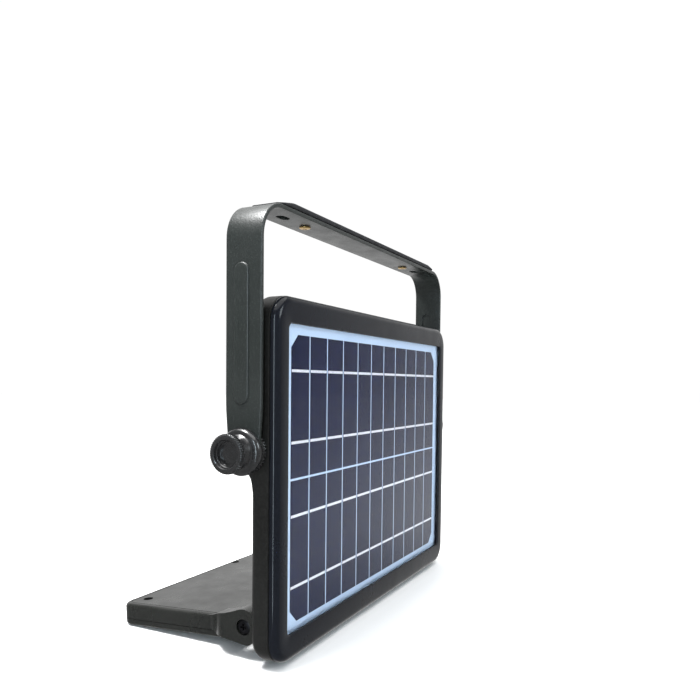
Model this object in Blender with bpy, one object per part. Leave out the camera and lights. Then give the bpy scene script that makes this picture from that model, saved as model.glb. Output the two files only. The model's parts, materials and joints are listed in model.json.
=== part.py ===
"""Portable solar flood light: a panel housing, a bracket handle and a hinged lamp head.

Metres, +Z up. +X runs along the housing's width and +Y points out of its back.
The origin is on the housing's flat underside, below the middle of the panel.
"""

import math

import bmesh
import bpy
from mathutils import Vector

GAP = 0.0003

# Housing
HOUSING_W = 0.2606
HOUSING_H = 0.1965
HOUSING_CORNER = 0.015
HOUSING_MID_Z = HOUSING_H / 2
BEZEL_FRONT_Y = -0.0084
BEZEL_FILLET = 0.0042
LIP_INSET = 0.0118
WINDOW_DROP = 0.0030
LIP_BACK_Y = -0.0072
RABBET_INSET = 0.0083
PARTING_Y = -0.0034
BACK_Y = 0.0087
BACK_FILLET = 0.0047
SHELL_WALL = 0.0024
SIDE_X = HOUSING_W / 2

# Solar panel
ARRAY_MID_Z = 0.0975
STRIP_W = 0.0196
STRIP_H = 0.0784
STRIP_GAP = 0.00074
ROW_GAP = 0.0012
STRIPS = 11
RIBBON_W = 0.0012
RIBBON_OFFSET = 0.0196
ARRAY_CHAMFER = 0.007
CELL_Y = -0.005
CELL_T = 0.0002

# Bracket pivot
PIVOT_Y = 0.0089
PIVOT_Z = 0.1144
BOSS_R = 0.0115
BOSS_INNER_X = 0.1133
INSERT_R = 0.0065
STUD_R = 0.004
RUNNING = 0.00005

# Bracket
STRAP_OUTER_X = 0.1358
STRAP_T = 0.0024
STRAP_W = 0.0224
STRAP_TOP = 0.1305
STRAP_BEND_R = 0.020
EAR_R = 0.0101
RIB_LOW = 0.0244
RIB_HIGH = 0.0977
RIB_W = 0.0094
RIB_RISE = 0.0008
RIB_Y = 0.0012
SLOT_X = 0.099
SLOT_LENGTH = 0.010
SLOT_W = 0.0055
GRIP_HALF = 0.1165
GRIP_T = 0.003
GRIP_SCREW_X = 0.075
GRIP_HOLE_R = 0.0018

# Knobs
DISC_R = 0.0118
DISC_T = 0.0025
KNOB_START_X = 0.1362
KNOB_END_X = 0.1507
FLANGE_R = 0.0124
KNURL_R = 0.0103
KNOB_SIDES = 32

# Lamp head, in its own frame: Y runs from the hinge to the far edge, +Z is its back
HINGE_Y = 0.019
HINGE_Z = 0.0158
HEAD_SLOPE = math.radians(-3.8)
HEAD_HALF_W = 0.112
HEAD_NEAR = 0.011
HEAD_FAR = 0.1009
HEAD_BACK = 0.0018
HEAD_SPLIT = -0.0074
HEAD_FRONT = -0.0112
HEAD_CORNER = 0.008
HEAD_WALL = 0.002
KNUCKLE_R = 0.010
ARM_INNER_X = 0.112
ARM_OUTER_X = 0.121
LUG_R = 0.009
LUG_INNER_X = 0.0995
LUG_OUTER_X = 0.1107
WINDOW_HALF_W = 0.093
WINDOW_NEAR = 0.0225
WINDOW_FAR = 0.082
GUSSET_ROOT_X = 0.1065
GUSSET_CLEAR_X = 0.1112
GUSSET_TOP = 0.0066
HINGE_PIN_R = 0.0024
WASHER_R = 0.0075
LENS_T = 0.0015
LENS_LAP = 0.002
LED_BOARD_LOW = -0.0047
LED_BOARD_HIGH = -0.0034
CHIP_COLUMNS = 10
CHIP_ROWS = 4
CHIP_PITCH_X = 0.0175
CHIP_PITCH_Y = 0.0135
CHIP_HALF = 0.0015
HEAD_SCREW_SPOTS = [
    (-0.099, 0.0899), (0.099, 0.0899), (0.0, 0.0954),
    (-0.099, 0.019), (0.099, 0.019), (0.0, 0.0155),
]

# Battery compartment on the housing's back
COVER_HALF_W = 0.112
COVER_LOW = 0.1275
COVER_HIGH = 0.1855
COVER_BACK_Y = 0.029
COVER_WALL = 0.002
COVER_SCREW_SPOTS = [(-0.105, 0.1345), (0.105, 0.1345), (-0.105, 0.1785), (0.105, 0.1785)]
CELL_R = 0.0092
CELL_LENGTH = 0.0652
CELL_AXIS_Y = 0.0165
CELL_AXIS_Z = 0.1565
CONTROL_Z = 0.175
BUTTON_X = -0.060
BUTTON_R = 0.005
LENS_X = -0.040
LENS_R = 0.0015
PORT_X = 0.070
PORT_FRONT_Y = 0.0213
SHELL_SCREW_SPOTS = [(-0.122, 0.012), (0.122, 0.012), (-0.122, 0.1845), (0.122, 0.1845)]

# Fasteners
SHELL_SCREW = {"head_r": 0.0028, "head_t": 0.0018, "shank_r": 0.0014, "length": 0.0110}
COVER_SCREW = {"head_r": 0.0030, "head_t": 0.0017, "shank_r": 0.0013, "length": 0.0195}
GRIP_SCREW = {"head_r": 0.0034, "head_t": 0.0010, "shank_r": 0.0014, "length": 0.0052}
HEAD_SCREW = {"head_r": 0.0026, "head_t": 0.0014, "shank_r": 0.0011, "length": 0.0085}
HINGE_SCREW = {"head_r": 0.0042, "head_t": 0.0017, "shank_r": HINGE_PIN_R, "length": 0.0200}
SHELL_TOWER_R = 0.0042
COVER_TOWER_R = 0.0045
HEAD_TOWER_R = 0.0044

SIDES = (("left", -1), ("right", 1))

# slot: base colour, metallic, roughness
FINISHES = {
    "housing_black": ((0.030, 0.031, 0.034), 0.0, 0.42),
    "bracket_black": ((0.045, 0.050, 0.048), 0.3, 0.45),
    "rubber_black": ((0.018, 0.018, 0.019), 0.0, 0.75),
    "knob_black": ((0.022, 0.022, 0.023), 0.0, 0.35),
    "steel": ((0.62, 0.62, 0.64), 1.0, 0.3),
    "brass": ((0.74, 0.56, 0.26), 1.0, 0.35),
    "aluminium": ((0.72, 0.73, 0.75), 1.0, 0.4),
    "reflector_white": ((0.85, 0.85, 0.86), 0.0, 0.3),
    "panel_white": ((0.82, 0.85, 0.90), 0.0, 0.4),
    "cell_blue": ((0.030, 0.038, 0.095), 0.1, 0.25),
    "board_green": ((0.04, 0.19, 0.09), 0.0, 0.5),
    "battery_wrap": ((0.08, 0.28, 0.42), 0.0, 0.35),
    "clear": ((0.85, 0.90, 0.92), 0.0, 0.05),
}


# ---- outlines ----

def arc(centre, radius, start, stop, steps):
    """Points on an arc in a plane. The angles are in degrees."""
    points = []
    for step in range(steps + 1):
        angle = math.radians(start + (stop - start) * step / steps)
        points.append((centre[0] + radius * math.cos(angle), centre[1] + radius * math.sin(angle)))
    return points


def rounded_rect(half_a, half_b, radius, steps=5):
    corners = [(1, 1, 0), (-1, 1, 90), (-1, -1, 180), (1, -1, 270)]
    points = []
    for side_a, side_b, start in corners:
        centre = (side_a * (half_a - radius), side_b * (half_b - radius))
        points += arc(centre, radius, start, start + 90, steps)
    return points


def stadium(centre, half_length, radius, steps=6):
    """A slot outline whose length runs along the second coordinate."""
    top = arc((centre[0], centre[1] + half_length - radius), radius, 0, 180, steps)
    bottom = arc((centre[0], centre[1] - half_length + radius), radius, 180, 360, steps)
    return top + bottom


def circle(radius, sides):
    return arc((0, 0), radius, 0, 360, sides)[:-1]


# ---- solids ----

def material(slot):
    found = bpy.data.materials.get(slot)
    if found:
        return found
    colour, metallic, roughness = FINISHES[slot]
    made = bpy.data.materials.new(slot)
    made.use_nodes = True
    shader = made.node_tree.nodes["Principled BSDF"]
    shader.inputs["Base Color"].default_value = (*colour, 1.0)
    shader.inputs["Metallic"].default_value = metallic
    shader.inputs["Roughness"].default_value = roughness
    if slot == "clear":
        shader.inputs["Transmission Weight"].default_value = 0.95
    made.diffuse_color = (*colour, 1.0)
    return made


def pivot(name, place, tilt=0.0):
    """An empty on a joint's axis, for the pieces that turn or slide with it."""
    empty = bpy.data.objects.new(name, None)
    empty.location = place
    empty.rotation_euler.x = tilt
    empty.empty_display_size = 0.02
    bpy.context.collection.objects.link(empty)
    return empty


def object_from(name, mesh_builder, slot, parent):
    bmesh.ops.remove_doubles(mesh_builder, verts=mesh_builder.verts, dist=1e-7)
    bmesh.ops.recalc_face_normals(mesh_builder, faces=mesh_builder.faces)
    mesh = bpy.data.meshes.new(name)
    mesh_builder.to_mesh(mesh)
    mesh_builder.free()
    mesh.shade_smooth()
    mesh.set_sharp_from_angle(angle=math.radians(35))
    made = bpy.data.objects.new(name, mesh)
    made.parent = parent
    bpy.context.collection.objects.link(made)
    if slot:
        mesh.materials.append(material(slot))
    return made


def loft(name, loops, slot=None, parent=None, ring=False):
    """Joins loops of points. A ring joins its last loop to its first, and anything else gets end caps."""
    build = bmesh.new()
    rows = [[build.verts.new(point) for point in loop] for loop in loops]
    count = len(rows[0])
    pairs = list(zip(rows, rows[1:]))
    if ring:
        pairs.append((rows[-1], rows[0]))
    for low, high in pairs:
        for index in range(count):
            after = (index + 1) % count
            build.faces.new((low[index], low[after], high[after], high[index]))
    if not ring:
        build.faces.new(rows[0][::-1])
        build.faces.new(rows[-1])
    return object_from(name, build, slot, parent)


def turned(
    name, axis, centre, profile, slot=None, parent=None, sides=20, ring=False, teeth=(), depth=0.0
):
    """Turns (distance along the axis, radius) points about an axis. Rows listed in teeth are knurled."""
    loops = []
    for row, (along, radius) in enumerate(profile):
        loop = []
        for index, (a, b) in enumerate(circle(1.0, sides)):
            reach = radius - depth * (index % 2) if row in teeth else radius
            first, second = a * reach, b * reach
            spots = {
                "X": (along, first, second),
                "Y": (second, along, first),
                "Z": (first, second, along),
            }
            loop.append(Vector(centre) + Vector(spots[axis]))
        loops.append(loop)
    return loft(name, loops, slot, parent, ring)


def extruded(name, axis, outline, start, stop, slot=None, parent=None):
    """Extrudes an outline along X, Y or Z. Its points are in the other two axes, in X, Y, Z order."""
    loops = []
    for along in (start, stop):
        if axis == "X":
            loops.append([(along, a, b) for a, b in outline])
        elif axis == "Y":
            loops.append([(a, along, b) for a, b in outline])
        else:
            loops.append([(a, b, along) for a, b in outline])
    return loft(name, loops, slot, parent)


def box(name, low, high, slot=None, parent=None):
    outline = [(low[0], low[1]), (high[0], low[1]), (high[0], high[1]), (low[0], high[1])]
    return extruded(name, "Z", outline, low[2], high[2], slot, parent)


def combine(target, other, operation):
    """Adds a live Boolean, and keeps its tool out of renders and shown as a wire."""
    other.hide_render = True
    other.display_type = "WIRE"
    other.parent = target.parent
    boolean = target.modifiers.new(f"{operation.lower()}_{other.name}", "BOOLEAN")
    boolean.operation = operation
    boolean.solver = "EXACT"
    boolean.object = other


def cut(target, other):
    combine(target, other, "DIFFERENCE")


def add(target, other):
    combine(target, other, "UNION")


def stepped_hole(start, shoulder, end, narrow, wide):
    """The profile of a screw's hole: narrow up to the shoulder that its head sits on, then wide."""
    return [(start, narrow), (shoulder, narrow), (shoulder, wide), (end, wide)]


def screw(
    name, place, axis, toward, head_r, head_t, shank_r, length, slot="steel", parent=None
):
    """A screw whose head's top is at place. toward is the sign of the axis direction of its tip."""
    recess = 0.45
    profile = [
        (head_t * 0.55, head_r * recess * 0.5),
        (0.0, head_r * recess),
        (0.0, head_r * 0.8),
        (head_t * 0.35, head_r),
        (head_t, head_r),
        (head_t, shank_r),
        (length - shank_r * 0.6, shank_r),
        (length, shank_r * 0.4),
    ]
    placed = [(toward * along, radius) for along, radius in profile]
    return turned(name, axis, place, placed, slot, parent, sides=10)


# ---- housing ----

def housing_loop(inset, y, drop=0.0, steps=4):
    """The housing's outline moved in by inset. drop moves its top and bottom in further."""
    radius = max(HOUSING_CORNER - inset, 0.003)
    outline = rounded_rect(HOUSING_W / 2 - inset, HOUSING_H / 2 - inset - drop, radius, steps)
    return [(x, y, HOUSING_MID_Z + z) for x, z in outline]


def front_bezel():
    edge = arc((BEZEL_FILLET, BEZEL_FRONT_Y + BEZEL_FILLET), BEZEL_FILLET, 180, 270, 5)
    section = [(0.0, PARTING_Y - GAP), *edge]
    section += [
        (LIP_INSET - 0.0008, BEZEL_FRONT_Y, WINDOW_DROP),
        (LIP_INSET, BEZEL_FRONT_Y + 0.0008, WINDOW_DROP),
        (LIP_INSET, LIP_BACK_Y, WINDOW_DROP),
        (RABBET_INSET, LIP_BACK_Y, WINDOW_DROP),
        (RABBET_INSET, PARTING_Y - GAP, WINDOW_DROP),
    ]
    return loft("front_bezel", [housing_loop(*spot) for spot in section], "housing_black", ring=True)


def boss_outline():
    """The pivot boss in Y and Z: round behind the pivot, with a hollow blend above and below it."""
    front = PIVOT_Y - 0.0085
    reach = 0.030
    lower = [(-0.0049, -reach), (-0.0030, -0.0255), (-0.0024, -0.0227), (-0.0018, -0.0177)]
    lower.append((-0.0010, -0.0147))
    points = [(front, PIVOT_Z - reach)]
    points += [(PIVOT_Y + y, PIVOT_Z + z) for y, z in lower]
    points += arc((PIVOT_Y, PIVOT_Z), BOSS_R, -84, 84, 12)
    points += [(PIVOT_Y + y, PIVOT_Z - z) for y, z in reversed(lower)]
    points.append((front, PIVOT_Z + reach))
    return points


def lug_outline():
    points = [(BACK_Y - 0.0012, HINGE_Z - LUG_R)]
    points += arc((HINGE_Y, HINGE_Z), LUG_R, -90, 80, 9)
    points.append((BACK_Y - 0.0012, HINGE_Z + LUG_R + 0.006))
    return points


def rear_shell():
    edge = arc((BACK_FILLET, BACK_Y - BACK_FILLET), BACK_FILLET, 90, 180, 4)
    inner_fillet = BACK_FILLET - SHELL_WALL
    inner_edge = arc((BACK_FILLET, BACK_Y - BACK_FILLET), inner_fillet, 180, 90, 3)
    section = [*edge, (0.0, PARTING_Y), (SHELL_WALL, PARTING_Y), *inner_edge]
    shell = loft("rear_shell", [housing_loop(*spot) for spot in section], "housing_black")
    past = 0.002
    for side, sign in SIDES:
        inner_x, outer_x = sign * BOSS_INNER_X, sign * (SIDE_X - RUNNING)
        add(shell, extruded(f"boss_{side}", "X", boss_outline(), inner_x, outer_x))
        inner_x, outer_x = sign * LUG_INNER_X, sign * LUG_OUTER_X
        add(shell, extruded(f"lug_{side}", "X", lug_outline(), inner_x, outer_x))
    for index, (x, z) in enumerate(SHELL_SCREW_SPOTS):
        tower = [(PARTING_Y + 0.0004, SHELL_TOWER_R), (BACK_Y - 0.001, SHELL_TOWER_R)]
        add(shell, turned(f"tower_{index}", "Y", (x, 0, z), tower, sides=12))
    for side, sign in SIDES:
        radius = INSERT_R + GAP
        bore = [(sign * (BOSS_INNER_X + 0.0015), radius), (sign * (SIDE_X + past), radius)]
        cut(shell, turned(f"boss_bore_{side}", "X", (0, PIVOT_Y, PIVOT_Z), bore))
        radius = HINGE_PIN_R + RUNNING
        bore = [(sign * (LUG_INNER_X - past), radius), (sign * (LUG_OUTER_X + past), radius)]
        cut(shell, turned(f"lug_bore_{side}", "X", (0, HINGE_Y, HINGE_Z), bore))
    for index, (x, z) in enumerate(SHELL_SCREW_SPOTS):
        well = stepped_hole(-0.006, BACK_Y - 0.0030, BACK_Y + past, 0.0018, 0.0032)
        cut(shell, turned(f"shell_well_{index}", "Y", (x, 0, z), well, sides=12))
    for index, (x, z) in enumerate(COVER_SCREW_SPOTS):
        pilot = [(BACK_Y - 0.004, 0.0016), (BACK_Y + past, 0.0016)]
        cut(shell, turned(f"cover_pilot_{index}", "Y", (x, 0, z), pilot, sides=12))
    half_w, half_h = 0.1035, 0.0130
    window_low = (-half_w, BACK_Y - 0.006, CELL_AXIS_Z - half_h)
    window_high = (half_w, BACK_Y + past, CELL_AXIS_Z + half_h)
    cut(shell, box("battery_window", window_low, window_high))
    return shell


def shell_screws():
    for index, (x, z) in enumerate(SHELL_SCREW_SPOTS):
        place = (x, BACK_Y - 0.0008, z)
        screw(f"shell_screw_{index + 1}", place, "Y", -1, **SHELL_SCREW)


# ---- solar panel ----

def panel_sheet(name, inset, y_low, y_high, slot):
    return loft(name, [housing_loop(inset, y, WINDOW_DROP, 3) for y in (y_low, y_high)], slot)


def solar_gasket():
    inner = LIP_INSET - 0.0003
    outer = RABBET_INSET + GAP
    low = LIP_BACK_Y + GAP
    high = low + 0.0005
    section = [(outer, low), (inner, low), (inner, high), (outer, high)]
    loops = [housing_loop(*spot, WINDOW_DROP, 3) for spot in section]
    return loft("solar_gasket", loops, "rubber_black", ring=True)


def strip_edges():
    """The left and right edges of each cell strip, from left to right."""
    total = STRIPS * STRIP_W + (STRIPS - 1) * STRIP_GAP
    edges = []
    for index in range(STRIPS):
        left = -total / 2 + index * (STRIP_W + STRIP_GAP)
        edges.append((left, left + STRIP_W))
    return edges


def cell_row(name, sign):
    """One row of strips, joined across their gaps by two ribbons, with its outer corners cut off."""
    spans = strip_edges()
    inner = sign * ROW_GAP / 2
    outer = sign * (ROW_GAP / 2 + STRIP_H)
    ribbons = [inner + sign * RIBBON_OFFSET, outer - sign * RIBBON_OFFSET]
    rows = [inner]
    for centre in ribbons:
        rows += [centre - sign * RIBBON_W / 2, centre + sign * RIBBON_W / 2]
    rows += [outer - sign * ARRAY_CHAMFER, outer]
    columns = [spans[0][0], spans[0][0] + ARRAY_CHAMFER, spans[0][1]]
    for left, right in spans[1:-1]:
        columns += [left, right]
    columns += [spans[-1][0], spans[-1][1] - ARRAY_CHAMFER, spans[-1][1]]
    widths = [right - left for left, right in zip(columns, columns[1:])]
    in_gap = {index for index, width in enumerate(widths) if width < STRIP_GAP * 1.5}
    on_ribbon = {1, 3}
    build = bmesh.new()
    grid = {}

    def corner(column, row, y):
        x, z = columns[column], rows[row]
        if row == len(rows) - 1 and column in (0, len(columns) - 1):
            x -= math.copysign(ARRAY_CHAMFER / 2, x)
            z -= math.copysign(ARRAY_CHAMFER / 2, z)
        key = (column, row, y)
        if key not in grid:
            grid[key] = build.verts.new((x, y, ARRAY_MID_Z + z))
        return grid[key]

    front = []
    for column in range(len(columns) - 1):
        for row in range(len(rows) - 1):
            if column in in_gap and row not in on_ribbon:
                continue
            spots = [(column, row), (column + 1, row), (column + 1, row + 1), (column, row + 1)]
            front.append(build.faces.new([corner(*spot, CELL_Y) for spot in spots]))
    grown = bmesh.ops.extrude_face_region(build, geom=front, use_keep_orig=True)
    moved = [item for item in grown["geom"] if isinstance(item, bmesh.types.BMVert)]
    bmesh.ops.translate(build, verts=moved, vec=(0, CELL_T, 0))
    return object_from(name, build, "cell_blue", None)


def solar_panel():
    inset = RABBET_INSET + GAP
    panel_sheet("solar_glass", inset, CELL_Y - 0.0011, CELL_Y - GAP, "clear")
    solar_gasket()
    cell_row("solar_cells_upper", 1)
    cell_row("solar_cells_lower", -1)
    backsheet_y = CELL_Y + CELL_T + GAP
    panel_sheet("solar_backsheet", inset, backsheet_y, PARTING_Y - GAP, "panel_white")
    box("junction_block", (-0.030, PARTING_Y + GAP, 0.0935), (0.030, 0.0025, 0.1175), "rubber_black")


# ---- battery compartment ----

def cover_loop(inset, y):
    half_h = (COVER_HIGH - COVER_LOW) / 2
    outline = rounded_rect(COVER_HALF_W - inset, half_h - inset, max(0.009 - inset, 0.002), 4)
    return [(x, y, (COVER_HIGH + COVER_LOW) / 2 + z) for x, z in outline]


def battery_cover():
    front = BACK_Y + GAP
    fillet = 0.005
    edge = arc((fillet, COVER_BACK_Y - fillet), fillet, 90, 180, 4)
    inner_edge = arc((fillet, COVER_BACK_Y - fillet), fillet - COVER_WALL, 180, 90, 3)
    section = [*edge, (0.0, front), (COVER_WALL, front), *inner_edge]
    cover = loft("battery_cover", [cover_loop(*spot) for spot in section], "housing_black")
    inside, past = COVER_BACK_Y - 0.009, COVER_BACK_Y + 0.003
    for index, (x, z) in enumerate(COVER_SCREW_SPOTS):
        tower = [(front + 0.0003, COVER_TOWER_R), (COVER_BACK_Y - 0.001, COVER_TOWER_R)]
        add(cover, turned(f"cover_tower_{index}", "Y", (x, 0, z), tower, sides=12))
    pocket_low = (PORT_X - 0.010, 0.023, CONTROL_Z - 0.0072)
    pocket_high = (PORT_X + 0.010, COVER_BACK_Y - 0.0012, CONTROL_Z + 0.0072)
    add(cover, box("port_pocket", pocket_low, pocket_high))
    for index, (x, z) in enumerate(COVER_SCREW_SPOTS):
        well = stepped_hole(0.004, COVER_BACK_Y - 0.005, past, 0.0018, 0.0034)
        cut(cover, turned(f"cover_well_{index}", "Y", (x, 0, z), well, sides=12))
    hole = [(inside, BUTTON_R + GAP), (past, BUTTON_R + GAP)]
    cut(cover, turned("button_hole", "Y", (BUTTON_X, 0, CONTROL_Z), hole))
    lens_hole = [(inside, LENS_R + GAP), (past, LENS_R + GAP)]
    cut(cover, turned("lens_hole", "Y", (LENS_X, 0, CONTROL_Z), lens_hole, sides=16))
    recess_low = (PORT_X - 0.0075, COVER_BACK_Y - 0.0022, CONTROL_Z - 0.0052)
    recess_high = (PORT_X + 0.0075, COVER_BACK_Y + 0.002, CONTROL_Z + 0.0050)
    cut(cover, box("flap_recess", recess_low, recess_high))
    mouth = [(PORT_X + x, CONTROL_Z + z) for x, z in rounded_rect(0.0048, 0.00195, 0.0018, 3)]
    cut(cover, extruded("port_mouth", "Y", mouth, inside, COVER_BACK_Y))
    return cover


def cover_screws():
    for index, (x, z) in enumerate(COVER_SCREW_SPOTS):
        place = (x, COVER_BACK_Y - 0.0030, z)
        screw(f"cover_screw_{index + 1}", place, "Y", -1, **COVER_SCREW)


def battery_cells():
    for index in range(3):
        start = (index - 1.5) * (CELL_LENGTH + 0.0008)
        profile = [
            (start + 0.0004, CELL_R - 0.0008),
            (start + 0.0010, CELL_R),
            (start + CELL_LENGTH - 0.0020, CELL_R),
            (start + CELL_LENGTH - 0.0015, CELL_R - 0.0010),
            (start + CELL_LENGTH - 0.0015, 0.0030),
            (start + CELL_LENGTH, 0.0028),
        ]
        centre = (0, CELL_AXIS_Y, CELL_AXIS_Z)
        turned(f"battery_cell_{index + 1}", "X", centre, profile, "battery_wrap", sides=16)


def battery_tray():
    low = (-0.1020, 0.0042, CELL_AXIS_Z - 0.0115)
    high = (0.1020, 0.0120, CELL_AXIS_Z + 0.0115)
    tray = box("battery_tray", low, high, "rubber_black")
    wall = 0.0015
    pocket_low = (low[0] + wall, low[1] + wall, low[2] + wall)
    pocket_high = (high[0] - wall, high[1] + 0.002, high[2] - wall)
    cut(tray, box("tray_pocket", pocket_low, pocket_high))
    return tray


def controls():
    box("control_board", (-0.085, 0.0195, 0.1680), (0.085, 0.0209, 0.1810), "board_green")
    floor, back = PORT_FRONT_Y + 0.001, PORT_FRONT_Y + 0.0055
    inner, outer = (0.0042, 0.00128), (0.0045, 0.0016)
    loops = []
    for (half_a, half_b), y in [(inner, floor), (inner, back), (outer, back), (outer, PORT_FRONT_Y)]:
        outline = rounded_rect(half_a, half_b, half_b * 0.95, 3)
        loops.append([(PORT_X + x, y, CONTROL_Z + z) for x, z in outline])
    loft("usb_port", loops, "steel")
    lens = [
        (PORT_FRONT_Y, LENS_R),
        (COVER_BACK_Y, LENS_R),
        (COVER_BACK_Y + 0.0004, LENS_R - 0.0004),
    ]
    turned("indicator_lens", "Y", (LENS_X, 0, CONTROL_Z), lens, "clear", sides=16)


def power_button():
    slide = pivot("button_slide", (BUTTON_X, COVER_BACK_Y, CONTROL_Z))
    flange_low, flange_high = -0.0032, -COVER_WALL - GAP
    profile = [
        (-0.0055, 0.0032),
        (flange_low, 0.0032),
        (flange_low, BUTTON_R + 0.0010),
        (flange_high, BUTTON_R + 0.0010),
        (flange_high, BUTTON_R),
        (0.0014, BUTTON_R),
        (0.0020, BUTTON_R - 0.0006),
    ]
    turned("power_button", "Y", (0, 0, 0), profile, "rubber_black", slide)


def port_cover():
    """The flap over the socket. Its pivot is along its lower edge, which is round about that line."""
    half_t = 0.0008
    hinge_z = CONTROL_Z - 0.0040
    hinge = pivot("port_cover_pivot", (PORT_X, COVER_BACK_Y - 0.0010, hinge_z))
    height = CONTROL_Z + 0.0050 - GAP - hinge_z
    outline = arc((0, 0), half_t, 180, 360, 6)
    outline += [(half_t, height - 0.0004), (half_t - 0.0004, height), (-half_t, height)]
    half_w = 0.0075 - GAP
    extruded("port_cover", "X", outline, -half_w, half_w, "rubber_black", hinge)


# ---- bracket ----

def ear_stations():
    """Heights and half widths of a leg, from its round lower end up to its full width."""
    stations = []
    for degrees in (12, 30, 48, 66, 84):
        angle = math.radians(degrees)
        stations.append((-EAR_R * math.cos(angle), EAR_R * math.sin(angle)))
    stations += [(0.0065, EAR_R), (0.016, EAR_R + 0.0009), (0.026, STRAP_W / 2)]
    return stations


def strap_section(x, z, out_x, out_z, half_w):
    """Eight corners of the strap's section. (out_x, out_z) points to the strap's outer face."""
    half_t = STRAP_T / 2
    edge = 0.0005
    spots = [
        (half_t, -half_w + edge), (half_t, half_w - edge),
        (half_t - edge, half_w), (-half_t + edge, half_w),
        (-half_t, half_w - edge), (-half_t, -half_w + edge),
        (-half_t + edge, -half_w), (half_t - edge, -half_w),
    ]
    return [(x + out_x * out, y, z + out_z * out) for out, y in spots]


def bracket_strap(parent):
    leg_x = STRAP_OUTER_X - STRAP_T / 2
    bar_z = STRAP_TOP - STRAP_T / 2
    bend = STRAP_BEND_R - STRAP_T / 2
    half = [strap_section(leg_x, z, 1, 0, half_w) for z, half_w in ear_stations()]
    for degrees in range(0, 91, 15):
        angle = math.radians(degrees)
        out_x, out_z = math.cos(angle), math.sin(angle)
        x = leg_x - bend + bend * out_x
        z = bar_z - bend + bend * out_z
        half.append(strap_section(x, z, out_x, out_z, STRAP_W / 2))
    other = [[(-x, y, z) for x, y, z in loop] for loop in reversed(half)]
    strap = loft("bracket_strap", half + other, "bracket_black", parent)
    middle = (RIB_LOW + RIB_HIGH) / 2
    half_length = (RIB_HIGH - RIB_LOW) / 2
    past = 0.002
    for side, sign in SIDES:
        outer, inner = STRAP_OUTER_X, STRAP_OUTER_X - STRAP_T
        loops = []
        for x, shrink in [(outer - 0.001, 0.0), (outer, 0.0), (outer + RIB_RISE, RIB_RISE)]:
            outline = stadium((RIB_Y, middle), half_length - shrink, RIB_W / 2 - shrink)
            loops.append([(sign * x, y, z) for y, z in outline])
        add(strap, loft(f"rib_{side}", loops))
        groove = stadium((RIB_Y, middle), half_length - 0.001, RIB_W / 2 - 0.001)
        start, stop = sign * (inner - past), sign * (inner + RIB_RISE)
        cut(strap, extruded(f"groove_{side}", "X", groove, start, stop))
        radius = STUD_R + 0.0002
        hole = [(sign * (inner - past), radius), (sign * (outer + past), radius)]
        cut(strap, turned(f"ear_hole_{side}", "X", (0, 0, 0), hole))
        slot = [(sign * SLOT_X + b, a) for a, b in stadium((0, 0), SLOT_LENGTH / 2, SLOT_W / 2)]
        low, high = STRAP_TOP - STRAP_T - past, STRAP_TOP + past
        cut(strap, extruded(f"slot_{side}", "Z", slot, low, high))
        hole = [(low, GRIP_HOLE_R), (high, GRIP_HOLE_R)]
        centre = (sign * GRIP_SCREW_X, 0, 0)
        cut(strap, turned(f"grip_hole_{side}", "Z", centre, hole, sides=16))
    return strap


def handle_grip(parent):
    low = STRAP_TOP + GAP
    high = low + GRIP_T
    edge = 0.0010
    half_w = STRAP_W / 2
    loops = []
    for inset, z in [(0.0, low), (0.0, high - edge), (edge * 0.3, high - edge * 0.3), (edge, high)]:
        outline = rounded_rect(GRIP_HALF - inset, half_w - inset, 0.003, 4)
        loops.append([(x, y, z) for x, y in outline])
    grip = loft("handle_grip", loops, "rubber_black", parent)
    for side, sign in SIDES:
        hole = [(low - 0.002, GRIP_HOLE_R), (low + 0.0022, GRIP_HOLE_R)]
        centre = (sign * GRIP_SCREW_X, 0, 0)
        cut(grip, turned(f"grip_pilot_{side}", "Z", centre, hole, sides=16))
    return grip


def bracket():
    swing = pivot("bracket_pivot", (0, PIVOT_Y, PIVOT_Z))
    bracket_strap(swing)
    handle_grip(swing)
    for side, sign in SIDES:
        place = (sign * GRIP_SCREW_X, 0, STRAP_TOP - STRAP_T - GAP - GRIP_SCREW["head_t"])
        screw(f"grip_screw_{side}", place, "Z", 1, **GRIP_SCREW, slot="brass", parent=swing)


# ---- pivots and knobs ----

def lock_disc(side, sign):
    start = sign * (SIDE_X + GAP)
    stop = sign * (SIDE_X + GAP + DISC_T)
    bore = STUD_R + 0.0003
    profile = [(start, bore), (start, DISC_R), (stop, DISC_R), (stop, bore)]
    centre = (0, PIVOT_Y, PIVOT_Z)
    turned(
        f"lock_disc_{side}", "X", centre, profile, "knob_black",
        sides=44, ring=True, teeth=(1, 2), depth=0.0007,
    )


def pivot_insert(side, sign):
    start, stop = sign * (BOSS_INNER_X + 0.0018), sign * (SIDE_X - 0.0006)
    bore = STUD_R + RUNNING
    profile = [(start, bore), (start, INSERT_R), (stop, INSERT_R), (stop, bore)]
    turned(f"pivot_insert_{side}", "X", (0, PIVOT_Y, PIVOT_Z), profile, "brass", ring=True)


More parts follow.
